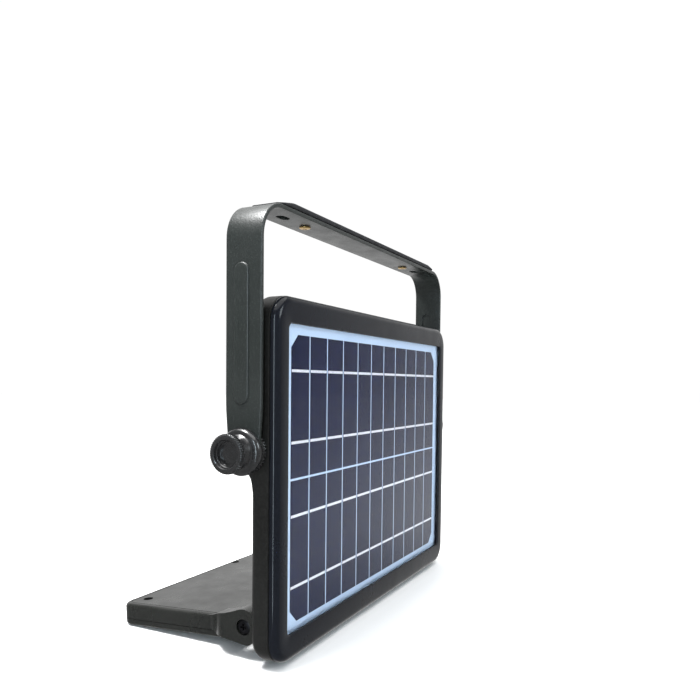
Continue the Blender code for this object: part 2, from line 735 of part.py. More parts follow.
def knob(side, sign):
    """The hand knob: a flange with a round shoulder, a tapered neck and a knurled ring around a recess."""
    turn = pivot(f"knob_{side}_pivot", (0, PIVOT_Y, PIVOT_Z))
    ring_x = KNOB_END_X - 0.0041
    profile = [
        (KNOB_END_X - 0.0049, STUD_R + GAP),
        (KNOB_START_X, STUD_R + GAP),
        (KNOB_START_X, FLANGE_R - 0.0005),
        (KNOB_START_X + 0.0006, FLANGE_R),
        (KNOB_START_X + 0.0022, FLANGE_R),
        (KNOB_START_X + 0.0034, FLANGE_R - 0.0009),
        (KNOB_START_X + 0.0042, 0.0092),
        (ring_x - 0.0004, 0.0079),
        (ring_x, KNURL_R - 0.0006),
        (ring_x + 0.0006, KNURL_R),
        (KNOB_END_X - 0.0006, KNURL_R),
        (KNOB_END_X, KNURL_R - 0.0006),
        (KNOB_END_X, 0.0071),
        (KNOB_END_X - 0.0008, 0.0064),
        (KNOB_END_X - 0.0028, 0.0062),
    ]
    mirrored = [(sign * along, radius) for along, radius in profile]
    turned(
        f"knob_{side}", "X", (0, 0, 0), mirrored, "knob_black", turn,
        sides=KNOB_SIDES, teeth=(9, 10), depth=0.0008,
    )
    stud = [
        (sign * (BOSS_INNER_X + 0.0022), STUD_R - 0.0008),
        (sign * (BOSS_INNER_X + 0.0030), STUD_R),
        (sign * (KNOB_END_X - 0.0052), STUD_R),
    ]
    turned(f"knob_stud_{side}", "X", (0, 0, 0), stud, "steel", turn)


# ---- lamp head ----

def head_loop(inset, z):
    middle = (HEAD_NEAR + HEAD_FAR) / 2
    half_length = (HEAD_FAR - HEAD_NEAR) / 2
    outline = rounded_rect(HEAD_HALF_W - inset, half_length - inset, max(HEAD_CORNER - inset, 0.002), 4)
    return [(x, middle + y, z) for x, y in outline]


def window_loop(grow, z):
    middle = (WINDOW_NEAR + WINDOW_FAR) / 2
    half_length = (WINDOW_FAR - WINDOW_NEAR) / 2
    outline = rounded_rect(WINDOW_HALF_W + grow, half_length + grow, 0.004, 3)
    return [(x, middle + y, z) for x, y in outline]


def knuckle_outline():
    """An arm of the head in Y and Z: round about the hinge, and tapering to the head's back."""
    base_y = 0.015
    points = [(base_y, HEAD_SPLIT + 0.0005)]
    points += reversed(arc((0, 0), KNUCKLE_R, 62, 262, 12))
    points.reverse()
    points.append((base_y, 0.0062))
    return points


def gusset(side, sign):
    """An arm's blend into the head's side. Above the head's back it keeps outside the housing's lug."""
    low, ledge, top = HEAD_SPLIT + 0.0005, HEAD_BACK - 0.0006, HEAD_BACK - 0.0003
    root = [(GUSSET_CLEAR_X, ledge), (GUSSET_ROOT_X, ledge), (GUSSET_ROOT_X, low)]
    outer = ARM_OUTER_X - RUNNING
    near = [*root, (outer, low), (outer, GUSSET_TOP), (GUSSET_CLEAR_X, GUSSET_TOP)]
    far = [*root, (HEAD_HALF_W, low), (HEAD_HALF_W, top), (GUSSET_CLEAR_X, top)]
    loops = []
    for section, reach in [(near, 0.0015), (near, 0.0035), (far, 0.016)]:
        loops.append([(sign * x, HEAD_NEAR + reach, z) for x, z in section])
    return loft(f"gusset_{side}", loops)


def head_rear_shell(parent):
    fillet = 0.0025
    edge = arc((fillet, HEAD_BACK - fillet), fillet, 90, 180, 4)
    low = HEAD_SPLIT + GAP / 2
    ceiling = HEAD_BACK - HEAD_WALL
    section = [*edge, (0.0, low), (HEAD_WALL, low), (HEAD_WALL, ceiling)]
    shell = loft("head_rear_shell", [head_loop(*spot) for spot in section], "housing_black", parent)
    past = 0.002
    for side, sign in SIDES:
        inner_x, outer_x = sign * ARM_INNER_X, sign * ARM_OUTER_X
        add(shell, extruded(f"knuckle_{side}", "X", knuckle_outline(), inner_x, outer_x))
        add(shell, gusset(side, sign))
    for index, (x, y) in enumerate(HEAD_SCREW_SPOTS):
        tower = [(low + GAP, HEAD_TOWER_R), (HEAD_BACK - 0.001, HEAD_TOWER_R)]
        add(shell, turned(f"head_tower_{index}", "Z", (x, y, 0), tower, sides=12))
    for side, sign in SIDES:
        start, shoulder = sign * (ARM_INNER_X - past), sign * (ARM_OUTER_X - 0.0022)
        stop = sign * (ARM_OUTER_X + past)
        bore = stepped_hole(start, shoulder, stop, HINGE_PIN_R + GAP, HINGE_SCREW["head_r"] + GAP)
        cut(shell, turned(f"arm_bore_{side}", "X", (0, 0, 0), bore))
    for index, (x, y) in enumerate(HEAD_SCREW_SPOTS):
        well = stepped_hole(HEAD_SPLIT - past, HEAD_BACK - 0.0045, HEAD_BACK + past, 0.0016, 0.0030)
        cut(shell, turned(f"head_well_{index}", "Z", (x, y, 0), well, sides=14))
    return shell


def head_front_frame(parent):
    high = HEAD_SPLIT - GAP / 2
    fillet = 0.0015
    lip_top = HEAD_FRONT + 0.0010
    edge = arc((fillet, HEAD_FRONT + fillet), fillet, 180, 270, 2)
    loops = [head_loop(0.0, high)] + [head_loop(*spot) for spot in edge]
    frame = loft("head_front_frame", loops, "housing_black", parent)
    opening = [window_loop(0.0, HEAD_FRONT - 0.002), window_loop(0.0, lip_top + 0.001)]
    cut(frame, loft("lens_opening", opening))
    rabbet = [window_loop(LENS_LAP, lip_top), window_loop(LENS_LAP, high + 0.002)]
    cut(frame, loft("lens_rabbet", rabbet))
    for index, (x, y) in enumerate(HEAD_SCREW_SPOTS):
        pilot = [(HEAD_FRONT + 0.0008, 0.0014), (high + 0.002, 0.0014)]
        cut(frame, turned(f"frame_pilot_{index}", "Z", (x, y, 0), pilot, sides=12))
    return frame


def head_optics(parent):
    lens_low = HEAD_FRONT + 0.0010 + GAP
    lens_high = lens_low + LENS_T
    grow = LENS_LAP - GAP
    loft("head_lens", [window_loop(grow, lens_low), window_loop(grow, lens_high)], "clear", parent)
    seal_low, seal_high = lens_high + 0.0001, HEAD_SPLIT - GAP / 2
    seal = [(0.0005, seal_low), (grow, seal_low), (grow, seal_high), (0.0005, seal_high)]
    loft("lens_seal", [window_loop(*spot) for spot in seal], "rubber_black", parent, ring=True)
    rim, floor = seal_high + 0.0002, -0.0050
    bowl = [(0.0015, rim), (-0.0040, floor), (-0.0052, floor), (0.0003, rim)]
    loft("reflector", [window_loop(*spot) for spot in bowl], "reflector_white", parent, ring=True)


def led_board(parent):
    """A board with its light chips standing on the side that faces the lens."""
    loops = [window_loop(0.001, LED_BOARD_LOW), window_loop(0.001, LED_BOARD_HIGH)]
    board = loft("led_board", loops, "reflector_white", parent)
    for column in range(CHIP_COLUMNS):
        for row in range(CHIP_ROWS):
            x = (column - (CHIP_COLUMNS - 1) / 2) * CHIP_PITCH_X
            y = (WINDOW_NEAR + WINDOW_FAR) / 2 + (row - (CHIP_ROWS - 1) / 2) * CHIP_PITCH_Y
            low = (x - CHIP_HALF, y - CHIP_HALF, LED_BOARD_LOW - 0.0005)
            high = (x + CHIP_HALF, y + CHIP_HALF, LED_BOARD_LOW + 0.0002)
            add(board, box(f"chip_{column}_{row}", low, high))
    return board


def lamp_head():
    hinge = pivot("lamp_head_pivot", (0, HINGE_Y, HINGE_Z), HEAD_SLOPE)
    head_rear_shell(hinge)
    head_front_frame(hinge)
    head_optics(hinge)
    led_board(hinge)
    spreader = [window_loop(0.001, LED_BOARD_HIGH + GAP), window_loop(0.001, -0.0010)]
    loft("heat_spreader", spreader, "aluminium", hinge)
    for index, (x, y) in enumerate(HEAD_SCREW_SPOTS):
        place = (x, y, HEAD_BACK - 0.0028)
        screw(f"head_screw_{index + 1}", place, "Z", -1, **HEAD_SCREW, parent=hinge)
    for side, sign in SIDES:
        place = (sign * (ARM_OUTER_X - 0.0002), 0, 0)
        screw(f"hinge_screw_{side}", place, "X", -sign, **HINGE_SCREW, parent=hinge)
        start, stop = sign * (LUG_OUTER_X + GAP), sign * (ARM_INNER_X - GAP)
        bore = HINGE_PIN_R + GAP
        washer = [(start, bore), (start, WASHER_R), (stop, WASHER_R), (stop, bore)]
        turned(f"friction_washer_{side}", "X", (0, 0, 0), washer, "steel", hinge, ring=True)


def main():
    for old in list(bpy.data.objects):
        bpy.data.objects.remove(old)
    front_bezel()
    rear_shell()
    shell_screws()
    solar_panel()
    battery_cover()
    cover_screws()
    battery_cells()
    battery_tray()
    controls()
    power_button()
    port_cover()
    bracket()
    for side, sign in SIDES:
        lock_disc(side, sign)
        pivot_insert(side, sign)
        knob(side, sign)
    lamp_head()


main()
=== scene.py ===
"""The looks of the portable solar flood light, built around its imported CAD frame. Metres, +Z up."""

import json
import math

import bmesh
import bpy
from mathutils import Matrix, Vector


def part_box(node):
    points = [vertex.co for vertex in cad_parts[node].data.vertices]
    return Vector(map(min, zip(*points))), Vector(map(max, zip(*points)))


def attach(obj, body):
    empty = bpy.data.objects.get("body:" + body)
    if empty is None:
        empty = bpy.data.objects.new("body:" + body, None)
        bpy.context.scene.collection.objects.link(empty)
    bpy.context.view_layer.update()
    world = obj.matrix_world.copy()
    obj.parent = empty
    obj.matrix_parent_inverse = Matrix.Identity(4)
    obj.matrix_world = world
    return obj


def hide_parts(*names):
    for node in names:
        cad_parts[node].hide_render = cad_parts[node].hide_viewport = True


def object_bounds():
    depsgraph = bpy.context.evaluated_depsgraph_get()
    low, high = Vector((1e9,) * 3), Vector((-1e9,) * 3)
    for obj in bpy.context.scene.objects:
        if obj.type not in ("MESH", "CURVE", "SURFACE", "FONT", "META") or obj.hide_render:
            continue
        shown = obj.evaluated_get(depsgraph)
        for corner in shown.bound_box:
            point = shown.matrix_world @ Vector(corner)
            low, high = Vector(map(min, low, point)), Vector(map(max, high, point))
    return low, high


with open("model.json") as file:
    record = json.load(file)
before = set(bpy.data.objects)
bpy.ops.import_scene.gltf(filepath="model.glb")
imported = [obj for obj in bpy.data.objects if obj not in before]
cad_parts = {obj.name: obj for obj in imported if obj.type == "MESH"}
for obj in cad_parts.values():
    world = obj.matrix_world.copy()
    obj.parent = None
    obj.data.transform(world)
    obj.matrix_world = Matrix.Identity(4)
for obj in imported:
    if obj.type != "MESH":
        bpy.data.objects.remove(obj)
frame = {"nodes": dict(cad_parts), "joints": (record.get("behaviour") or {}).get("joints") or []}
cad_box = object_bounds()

SIGNS = (-1, 1)
SIDES = (("left", -1), ("right", 1))
CUT = 0.002  # how far a cutting shape runs past a face
OVERLAP = 0.001  # how far an added shape sinks into the one that carries it
SKIN = 0.00005  # keeps two faces from lying in one plane
EDGE = 0.0005  # a small edge break
WELD = 1e-7
SHARP_ANGLE = math.radians(32)
BEVEL_ANGLE = math.radians(40)

# Places read from the frame
bezel_low, bezel_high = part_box("front_bezel")
shell_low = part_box("rear_shell")[0]
cells_low, cells_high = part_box("solar_cells_upper")
lower_cells_low, lower_cells_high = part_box("solar_cells_lower")
cover_low, cover_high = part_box("battery_cover")
strap_low, strap_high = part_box("bracket_strap")
grip_low, grip_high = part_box("handle_grip")
knob_low, knob_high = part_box("knob_right")
disc_low, disc_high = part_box("lock_disc_right")

HALF_W = bezel_high.x
MID_Z = (bezel_low.z + bezel_high.z) / 2
HALF_H = (bezel_high.z - bezel_low.z) / 2
PIVOT = Vector((0, (strap_low.y + strap_high.y) / 2, (knob_low.z + knob_high.z) / 2))
HINGE = Vector(next(j["pos_m"] for j in frame["joints"] if j["name"] == "head_fold"))
HEAD_DROOP = -3.8
HEAD_TILT = Matrix.Translation(HINGE) @ Matrix.Rotation(math.radians(HEAD_DROOP), 4, "X")

# Housing sections
CORNER = 0.015
FRONT_FILLET = 0.0042
BACK_FILLET = 0.0047
BACK_Y = 0.0087
LIP_INSET = 0.0118
LIP_ROUND = 0.0008
WINDOW_DROP = 0.0030
LIP_BACK_Y = -0.0072
RABBET_INSET = 0.0083
SHELL_WALL = 0.0024
BACK_RIBS = {"count": 5, "low": 0.042, "pitch": 0.014, "half_length": 0.082, "radius": 0.0016, "rise": 0.0009}
CELL_WINDOW = {"half_w": 0.1035, "half_h": 0.013, "depth": 0.006}

# Pivot bosses, and the lugs of the lamp head's hinge
BOSS_INNER = 0.1133
BOSS_R = 0.0115
BOSS_ROOT = 0.0085
BOSS_REACH = 0.030
BOSS_FLANK = [(-0.0049, -BOSS_REACH), (-0.0038, -0.0275), (-0.0030, -0.0255),
              (-0.0024, -0.0227), (-0.0018, -0.0177), (-0.0010, -0.0147)]
INSERT_R = 0.0068
INSERT_FLOOR = 0.0015
LUG_R = 0.009
LUG_TOP = 0.015
LUG_ROOT = 0.0012
LUG_INNER = 0.0995
LUG_OUTER = 0.1107
HINGE_BORE_R = 0.00245

# Solar cells
STRIP_W = 0.01933
STRIP_GAP = 0.00104
STRIPS = 11
RIBBON_W = 0.0015
RIBBON_OFFSET = 0.0196
CHAMFER = 0.007
CELL_T = 0.00006
RIBBON_CLEAR = 0.0006
RIBBON_RISE = 0.00012
RIBBON_SINK = 0.00004
BEADS = 4
BEAD = [(-0.0002, 0.00025), (-0.00016, 0.0005), (-0.0001, 0.0006)]
SHEET_CORNER = 0.0067

# Bracket, with the grip pad on its bar
STRAP_T = 0.0024
BEND_R = 0.020
EAR_R = 0.0101
RIB = {"low": 0.0244, "high": 0.0977, "width": 0.0094, "rise": 0.0008, "y": 0.0012}
RIB_STEPS = (0.3, 0.6, 0.8, 0.93, 1.0)
STRAP_EDGE = 0.0007
EAR_RISE = 0.0265
EAR_FLAT = 0.004
EAR_HOLE_R = 0.0042
SLOT_X = 0.099
SLOT_HALF = 0.005
SLOT_R = 0.00275
GRIP_SCREW_X = 0.075
GRIP_ROWS = 20
GRIP_END = 0.016
GRIP_MIDDLE = 0.7
GRIP_TAPER = 0.014
GRIP_TIP_T = 0.0009
GRIP_TIP_INSET = 0.003
GRIP_TIP_ROUND = 0.004
GRIP_SIDE_ROUND = 0.0012
GRIP_GROOVES = {"count": 34, "pitch": 0.0052, "radius": 0.0007, "depth": 0.0007, "margin": 0.0035}

# Knobs and locking discs. Neck, waist and face are (distance, radius), measured from the knob's inner end,
# its knurled rim and its outer end
STUD_R = 0.0043
KNOB_TEETH = 52
KNOB_RIM = 0.0103
KNOB_KNURL = 0.00075
KNOB_RING = 0.0041
KNOB_NECK = [(0.0042, 0.0093), (0.0048, 0.0087)]
KNOB_WAIST = [(-0.0010, 0.0078), (-0.0004, 0.0078)]
KNOB_FACE = [(-0.0003, 0.0073), (-0.0016, 0.0069), (-0.0020, 0.0064), (-0.0030, 0.0061),
             (-0.0031, 0.0050), (-0.0026, 0.0040), (-0.0026, 0.0006)]
DISC_TEETH = 40
DISC_TOOTH = 0.0008

# Lamp head, in its own frame
HEAD_HALF_W = 0.112
HEAD_NEAR = 0.011
HEAD_FAR = 0.1009
HEAD_BACK = 0.0018
HEAD_SPLIT = -0.0074
HEAD_SEAM = 0.0003
HEAD_FRONT = -0.0112
HEAD_CORNER = 0.008
HEAD_WALL = 0.002
ARM_INNER = 0.112
ARM_OUTER = 0.121
ARM_TOP = 0.0066
KNUCKLE_R = 0.010
KNUCKLE_REACH = 0.015
KNUCKLE_TOP = 0.0062
WINDOW = {"half_w": 0.093, "near": 0.0225, "far": 0.082}
WINDOW_CORNER = 0.004
HEAD_SCREWS = [(-0.099, 0.0899), (0.099, 0.0899), (0.0, 0.0954),
               (-0.099, 0.019), (0.099, 0.019), (0.0, 0.0155)]
LEDS = {"columns": 10, "rows": 4, "pitch_x": 0.0175, "pitch_y": 0.0135, "half_x": 0.0017, "half_y": 0.0016}
LED_BASE = -0.0048
LED_FACE = -0.0054
LED_DISC = [(-0.00548, 0.0010), (-0.00544, 0.0012), (-0.0053, 0.0012)]

# Battery compartment, its controls and the case screws
COVER_CORNER = 0.009
COVER_FILLET = 0.005
COVER_WALL = 0.002
COVER_GROOVES = {"count": 7, "low": 0.008, "pitch": 0.0040, "half_length": 0.085, "radius": 0.0006,
                 "depth": 0.0005}

COVER_SCREWS = [(-0.105, 0.1345), (0.105, 0.1345), (-0.105, 0.1785), (0.105, 0.1785)]
SHELL_SCREWS = [(-0.122, 0.012), (0.122, 0.012), (-0.122, 0.1845), (0.122, 0.1845)]
CELL_AXIS_Z = 0.1565
CONTROL_Z = 0.175
BUTTON_X = -0.060
LENS_X = -0.040
PORT_X = 0.070
BUTTON_HOLE_R = 0.0053
BUTTON_PROFILE = [(-0.0022, 0.0046), (0.0013, 0.0050), (0.0018, 0.0047), (0.0020, 0.0042),
                  (0.0020, 0.0032), (0.0017, 0.0029), (0.0016, 0.0004)]
LENS_HOLE_R = 0.0018
CONTROL_HOLES = (0.020, 0.032)  # where the holes for the controls start and stop in Y
MOUTH = {"half_w": 0.0048, "half_h": 0.00195, "corner": 0.0018}
NAIL = {"half_w": 0.003, "radius": 0.0012}
TONGUE = {"half_w": 0.0032, "half_h": 0.00035}

# Screw sizes: head radius, head thickness and length under the head's top
SCREW_HOLE_R = 0.0018
SHELL_SCREW = (0.0028, 0.0018, 0.011)
COVER_SCREW = (0.0030, 0.0017, 0.0195)
GRIP_SCREW = (0.0034, 0.0010, 0.0052)
HEAD_SCREW = (0.0026, 0.0014, 0.0085)
HINGE_SCREW = (0.0042, 0.0017, 0.020)
# The head's outline, as (share of its thickness, share of its radius)
SCREW_DOME = [(0.0, 0.55), (0.10, 0.80), (0.30, 0.95), (0.55, 1.0), (1.0, 1.0)]
SHANK_SHARE = 0.42
CROSS_LONG = 0.60
CROSS_SHORT = 0.14
CROSS_DEPTH = 0.7
CROSS_TAPER = 0.6


# ---- node materials ----

CRYSTAL_SIZE = 0.0022
FINGER_PITCH = 0.0016
WAVE_SCALE = 20.0  # a wave texture of scale 1 has a period of tau / 20

class Look:
    """A Principled material and short ways to add detail nodes to it."""

    def __init__(self, name, colour, roughness, metallic=0.0, **sockets):
        self.material = bpy.data.materials.new(name)
        self.material.use_nodes = True
        self.tree = self.material.node_tree
        self.shader = self.tree.nodes["Principled BSDF"]
        self.shader.inputs["Base Color"].default_value = (*colour, 1.0)
        self.shader.inputs["Roughness"].default_value = roughness
        self.shader.inputs["Metallic"].default_value = metallic
        for socket, value in sockets.items():
            self.shader.inputs[socket.replace("_", " ")].default_value = value
        self.place = self.tree.nodes.new("ShaderNodeTexCoord").outputs["Object"]
        self.height = None

    def node(self, kind, **settings):
        made = self.tree.nodes.new(kind)
        for name, value in settings.items():
            setattr(made, name, value)
        return made

    def link(self, source, target):
        self.tree.links.new(source, target)

    def stretched(self, scale):
        mapping = self.node("ShaderNodeMapping")
        mapping.inputs["Scale"].default_value = scale
        self.link(self.place, mapping.inputs["Vector"])
        return mapping.outputs["Vector"]

    def noise(self, size, detail=3.0, stretch=None, roughness=0.55):
        """Noise with features of about this size in metres."""
        made = self.node("ShaderNodeTexNoise")
        made.inputs["Scale"].default_value = 1.0 / size
        made.inputs["Detail"].default_value = detail
        made.inputs["Roughness"].default_value = roughness
        self.link(self.stretched(stretch) if stretch else self.place, made.inputs["Vector"])
        return made.outputs["Fac"]

    def spots(self, size):
        made = self.node("ShaderNodeTexVoronoi")
        made.inputs["Scale"].default_value = 1.0 / size
        self.link(self.place, made.inputs["Vector"])
        return made.outputs["Distance"]

    def remap(self, value, low, high, out_low=0.0, out_high=1.0):
        made = self.node("ShaderNodeMapRange")
        made.inputs["From Min"].default_value = low
        made.inputs["From Max"].default_value = high
        made.inputs["To Min"].default_value = out_low
        made.inputs["To Max"].default_value = out_high
        self.link(value, made.inputs["Value"])
        return made.outputs["Result"]

    def mix(self, factor, first, second):
        made = self.node("ShaderNodeMix", data_type="RGBA")
        self.link(factor, made.inputs["Factor"])
        for socket, value in (("A", first), ("B", second)):
            target = [s for s in made.inputs if s.name == socket and s.type == "RGBA"][0]
            if isinstance(value, tuple):
                target.default_value = (*value, 1.0)
            else:
                self.link(value, target)
        return [s for s in made.outputs if s.type == "RGBA"][0]

    def colour(self, source):
        self.link(source, self.shader.inputs["Base Color"])

    def rough(self, value, low, high, out_low, out_high):
        self.link(self.remap(value, low, high, out_low, out_high), self.shader.inputs["Roughness"])

    def bump(self, value, depth):
        made = self.node("ShaderNodeBump")
        made.inputs["Distance"].default_value = depth
        made.inputs["Strength"].default_value = 1.0
        self.link(value, made.inputs["Height"])
        if self.height:
            self.link(self.height, made.inputs["Normal"])
        self.height = made.outputs["Normal"]
        self.link(self.height, self.shader.inputs["Normal"])


def moulded_plastic(name, dark, light, roughness, specular, grain=0.0007, depth=0.00004, coat=0.0):
    """Moulded black plastic: spark-eroded grain, faint flow marks and handling smudges."""
    look = Look(name, dark, roughness, Specular_IOR_Level=specular, Coat_Weight=coat, Coat_Roughness=0.09)
    cloud = look.remap(look.noise(0.045, 4.0), 0.35, 0.68)
    speck = look.remap(look.noise(grain * 1.7, 2.0), 0.40, 0.66)
    look.colour(look.mix(speck, look.mix(cloud, dark, light), tuple(c * 1.25 for c in light)))
    look.rough(look.noise(0.018, 5.0, (1.0, 1.0, 0.55)), 0.3, 0.7, roughness - 0.07, roughness + 0.08)
    look.bump(look.noise(grain, 2.0), depth)
    look.bump(look.noise(0.03, 2.0), 0.00006)
    return look.material


def powder_coat():
    """Textured black powder coat on steel. Its colour is paler on the raised points of the fine grain and
    darker in the dimples between them: a painted highlight and painted shade that follow the grain's relief.
    """
    look = Look("powder_coat", (0.014, 0.016, 0.015), 0.38, 0.0, Specular_IOR_Level=0.5)
    fine = look.noise(0.0009, 3.0)
    patch = look.remap(look.noise(0.03, 3.0), 0.35, 0.65)
    base = look.mix(patch, (0.009, 0.012, 0.011), (0.013, 0.016, 0.015))
    # painted highlight and shade: the colour turns paler where the fine grain stands up and stays dark in its
    # dimples
    look.colour(look.mix(look.remap(fine, 0.55, 0.75), base, (0.028, 0.032, 0.030)))
    look.rough(look.noise(0.012, 4.0), 0.3, 0.7, 0.32, 0.42)
    look.bump(fine, 0.00008)
    look.bump(look.spots(0.0016), 0.00003)
    return look.material


def rubber(name="soft_rubber", base=(0.010, 0.010, 0.012)):
    look = Look(name, base, 0.6, Specular_IOR_Level=0.3)
    dust = look.remap(look.noise(0.006, 5.0), 0.45, 0.75)
    look.colour(look.mix(dust, base, (0.022, 0.022, 0.025)))
    look.rough(look.noise(0.004, 3.0), 0.3, 0.7, 0.52, 0.72)
    look.bump(look.noise(0.0006, 2.0), 0.00006)
    return look.material


def brushed(name, colour, roughness, direction, stained=(0.5, 0.5, 0.5)):
    look = Look(name, colour, roughness, 1.0)
    lines = look.noise(0.0016, 4.0, direction)
    stain = look.remap(look.noise(0.004, 4.0), 0.4, 0.75)
    shade = tuple(c * s for c, s in zip(colour, stained))
    look.colour(look.mix(stain, colour, shade))
    look.rough(lines, 0.3, 0.7, roughness - 0.08, roughness + 0.12)
    look.bump(lines, 0.00003)
    return look.material


def silicon(name):
    """Coated silicon: dark navy with crystal clouding, and faint silver contact lines along each strip."""
    look = Look(name, (0.010, 0.014, 0.040), 0.35, 0.0, Specular_IOR_Level=0.05)
    crystal = look.node("ShaderNodeTexVoronoi")
    crystal.inputs["Scale"].default_value = 1 / CRYSTAL_SIZE
    look.link(look.stretched((1.0, 1.0, 0.45)), crystal.inputs["Vector"])
    grain = look.remap(look.noise(0.0016, 4.0, (1.0, 1.0, 0.35)), 0.35, 0.7)
    base = look.mix(grain, (0.004, 0.006, 0.023), (0.009, 0.012, 0.038))
    facets = look.node("ShaderNodeSeparateColor")
    look.link(crystal.outputs["Color"], facets.inputs["Color"])
    base = look.mix(look.remap(facets.outputs[0], 0.0, 1.0, 0.0, 0.35), base, (0.010, 0.013, 0.042))
    fingers = look.node("ShaderNodeTexWave", wave_type="BANDS", bands_direction="X", wave_profile="SIN")
    fingers.inputs["Scale"].default_value = math.tau / FINGER_PITCH / WAVE_SCALE
    look.link(look.place, fingers.inputs["Vector"])
    lines = look.remap(fingers.outputs["Fac"], 0.90, 1.0, 0.0, 0.12)
    look.colour(look.mix(lines, base, (0.20, 0.21, 0.24)))
    look.rough(grain, 0.0, 1.0, 0.28, 0.42)
    look.bump(lines, 0.00001)
    return look.material


def ribbon_metal():
    look = Look("tinned_ribbon", (0.62, 0.63, 0.66), 0.42, 0.4)
    grain = look.remap(look.noise(0.0007, 4.0, (1.0, 1.0, 2.0)), 0.35, 0.65)
    look.colour(look.mix(grain, (0.42, 0.43, 0.47), (0.86, 0.87, 0.92)))
    look.rough(grain, 0.0, 1.0, 0.32, 0.55)
    look.bump(grain, 0.00005)
    return look.material


def white_sheet():
    look = Look("backing_sheet", (0.54, 0.66, 0.84), 0.45, Specular_IOR_Level=0.1)
    weave = look.remap(look.noise(0.0012, 3.0), 0.3, 0.7)
    fade = look.remap(look.noise(0.05, 2.0), 0.3, 0.7)
    base = look.mix(fade, (0.38, 0.50, 0.68), (0.42, 0.54, 0.71))
    look.colour(look.mix(weave, base, (0.47, 0.58, 0.74)))
    look.rough(weave, 0.0, 1.0, 0.3, 0.45)
    look.bump(weave, 0.00002)
    return look.material


def clear(name, colour, ior, roughness=0.03):
    """A clear cover: a little haze and fine cleaning marks keep it from being a perfect mirror."""
    look = Look(name, colour, roughness, 0.0, Transmission_Weight=1.0, IOR=ior)
    marks = look.noise(0.004, 5.0, (0.4, 1.0, 1.6))
    look.rough(marks, 0.3, 0.75, roughness, roughness + 0.06)
    look.bump(look.noise(0.02, 2.0), 0.00001)
    return look.material


def circuit_board(name, base, light):
    look = Look(name, base, 0.4)
    tracks = look.node("ShaderNodeTexBrick")
    tracks.inputs["Scale"].default_value = 220
    tracks.inputs["Color1"].default_value = (*base, 1)
    tracks.inputs["Color2"].default_value = (*base, 1)
    tracks.inputs["Mortar"].default_value = (*light, 1)
    tracks.inputs["Mortar Size"].default_value = 0.03
    look.link(look.place, tracks.inputs["Vector"])
    look.colour(tracks.outputs["Color"])
    look.rough(look.noise(0.003), 0.3, 0.7, 0.3, 0.5)
    look.bump(tracks.outputs["Fac"], 0.00003)
    return look.material


def phosphor():
    look = Look("led_phosphor", (0.80, 0.62, 0.10), 0.45)
    blotch = look.remap(look.noise(0.0006, 3.0), 0.35, 0.65)
    look.colour(look.mix(blotch, (0.78, 0.58, 0.07), (0.86, 0.70, 0.16)))
    look.rough(blotch, 0.0, 1.0, 0.35, 0.55)
    look.bump(blotch, 0.00002)
    return look.material


def glossy_white():
    look = Look("reflector_white", (0.80, 0.80, 0.80), 0.25)
    haze = look.remap(look.noise(0.01, 3.0), 0.3, 0.7)
    look.colour(look.mix(haze, (0.78, 0.78, 0.78), (0.84, 0.84, 0.83)))
    look.rough(haze, 0.0, 1.0, 0.2, 0.32)
    look.bump(look.noise(0.002), 0.00001)
    return look.material


BEZEL = moulded_plastic("bezel_plastic", (0.003, 0.004, 0.0065), (0.004, 0.005, 0.0078), 0.30, 0.06,
                        coat=0.3)
SHELL = moulded_plastic("shell_plastic", (0.006, 0.006, 0.0055), (0.009, 0.009, 0.0085), 0.40, 0.16)
HEAD = moulded_plastic("head_plastic", (0.007, 0.0075, 0.0068), (0.010, 0.0105, 0.0094), 0.30, 0.40, 0.0009)
KNOB = moulded_plastic("knob_plastic", (0.005, 0.005, 0.0055), (0.008, 0.008, 0.0085), 0.24, 0.5,
                       0.0009, 0.00001, coat=0.6)
COAT = powder_coat()
RUBBER = rubber()
GASKET = rubber("gasket_rubber", (0.006, 0.006, 0.007))
STEEL = brushed("zinc_steel", (0.60, 0.60, 0.62), 0.32, (1.0, 3.0, 1.0))
DARK_STEEL = brushed("black_zinc", (0.035, 0.035, 0.04), 0.38, (1.0, 3.0, 1.0))
BRASS = brushed("machined_brass", (0.62, 0.44, 0.18), 0.30, (1.0, 4.0, 1.0), (0.7, 0.6, 0.5))
ALUMINIUM = brushed("rolled_aluminium", (0.72, 0.73, 0.74), 0.36, (6.0, 1.0, 1.0))
SILICON = silicon("solar_silicon")
RIBBON = ribbon_metal()
SHEET = white_sheet()
PANEL_GLASS = clear("panel_cover", (0.97, 0.98, 0.99), 1.075)
LENS_GLASS = clear("lens_cover", (0.95, 0.97, 0.97), 1.45)
BOARD = circuit_board("control_board_green", (0.02, 0.11, 0.05), (0.10, 0.32, 0.12))
LED_BOARD = circuit_board("led_board_white", (0.72, 0.72, 0.71), (0.60, 0.61, 0.60))
SLEEVE = moulded_plastic("battery_sleeve", (0.03, 0.16, 0.30), (0.04, 0.20, 0.36), 0.3, 0.5)
PHOSPHOR = phosphor()
REFLECTOR = glossy_white()


# ---- outlines ----

def arc(centre, radius, start, stop, steps):
    points = []
    for step in range(steps + 1):
        angle = math.radians(start + (stop - start) * step / steps)
        points.append((centre[0] + radius * math.cos(angle), centre[1] + radius * math.sin(angle)))
    return points


def rounded_rect(half_a, half_b, radius, steps=12):
    points = []
    for side_a, side_b, start in [(1, 1, 0), (-1, 1, 90), (-1, -1, 180), (1, -1, 270)]:
        centre = (side_a * (half_a - radius), side_b * (half_b - radius))
        points += arc(centre, radius, start, start + 90, steps)
    return points


def stadium(centre, half_length, radius, steps=16):
    """A slot outline whose length runs along the second coordinate."""
    top = arc((centre[0], centre[1] + half_length - radius), radius, 0, 180, steps)
    return top + arc((centre[0], centre[1] - half_length + radius), radius, 180, 360, steps)


def lying_stadium(centre, half_length, radius, steps=16):
    """A slot outline whose length runs along the first coordinate."""
    return [(a, b) for b, a in stadium((centre[1], centre[0]), half_length, radius, steps)]


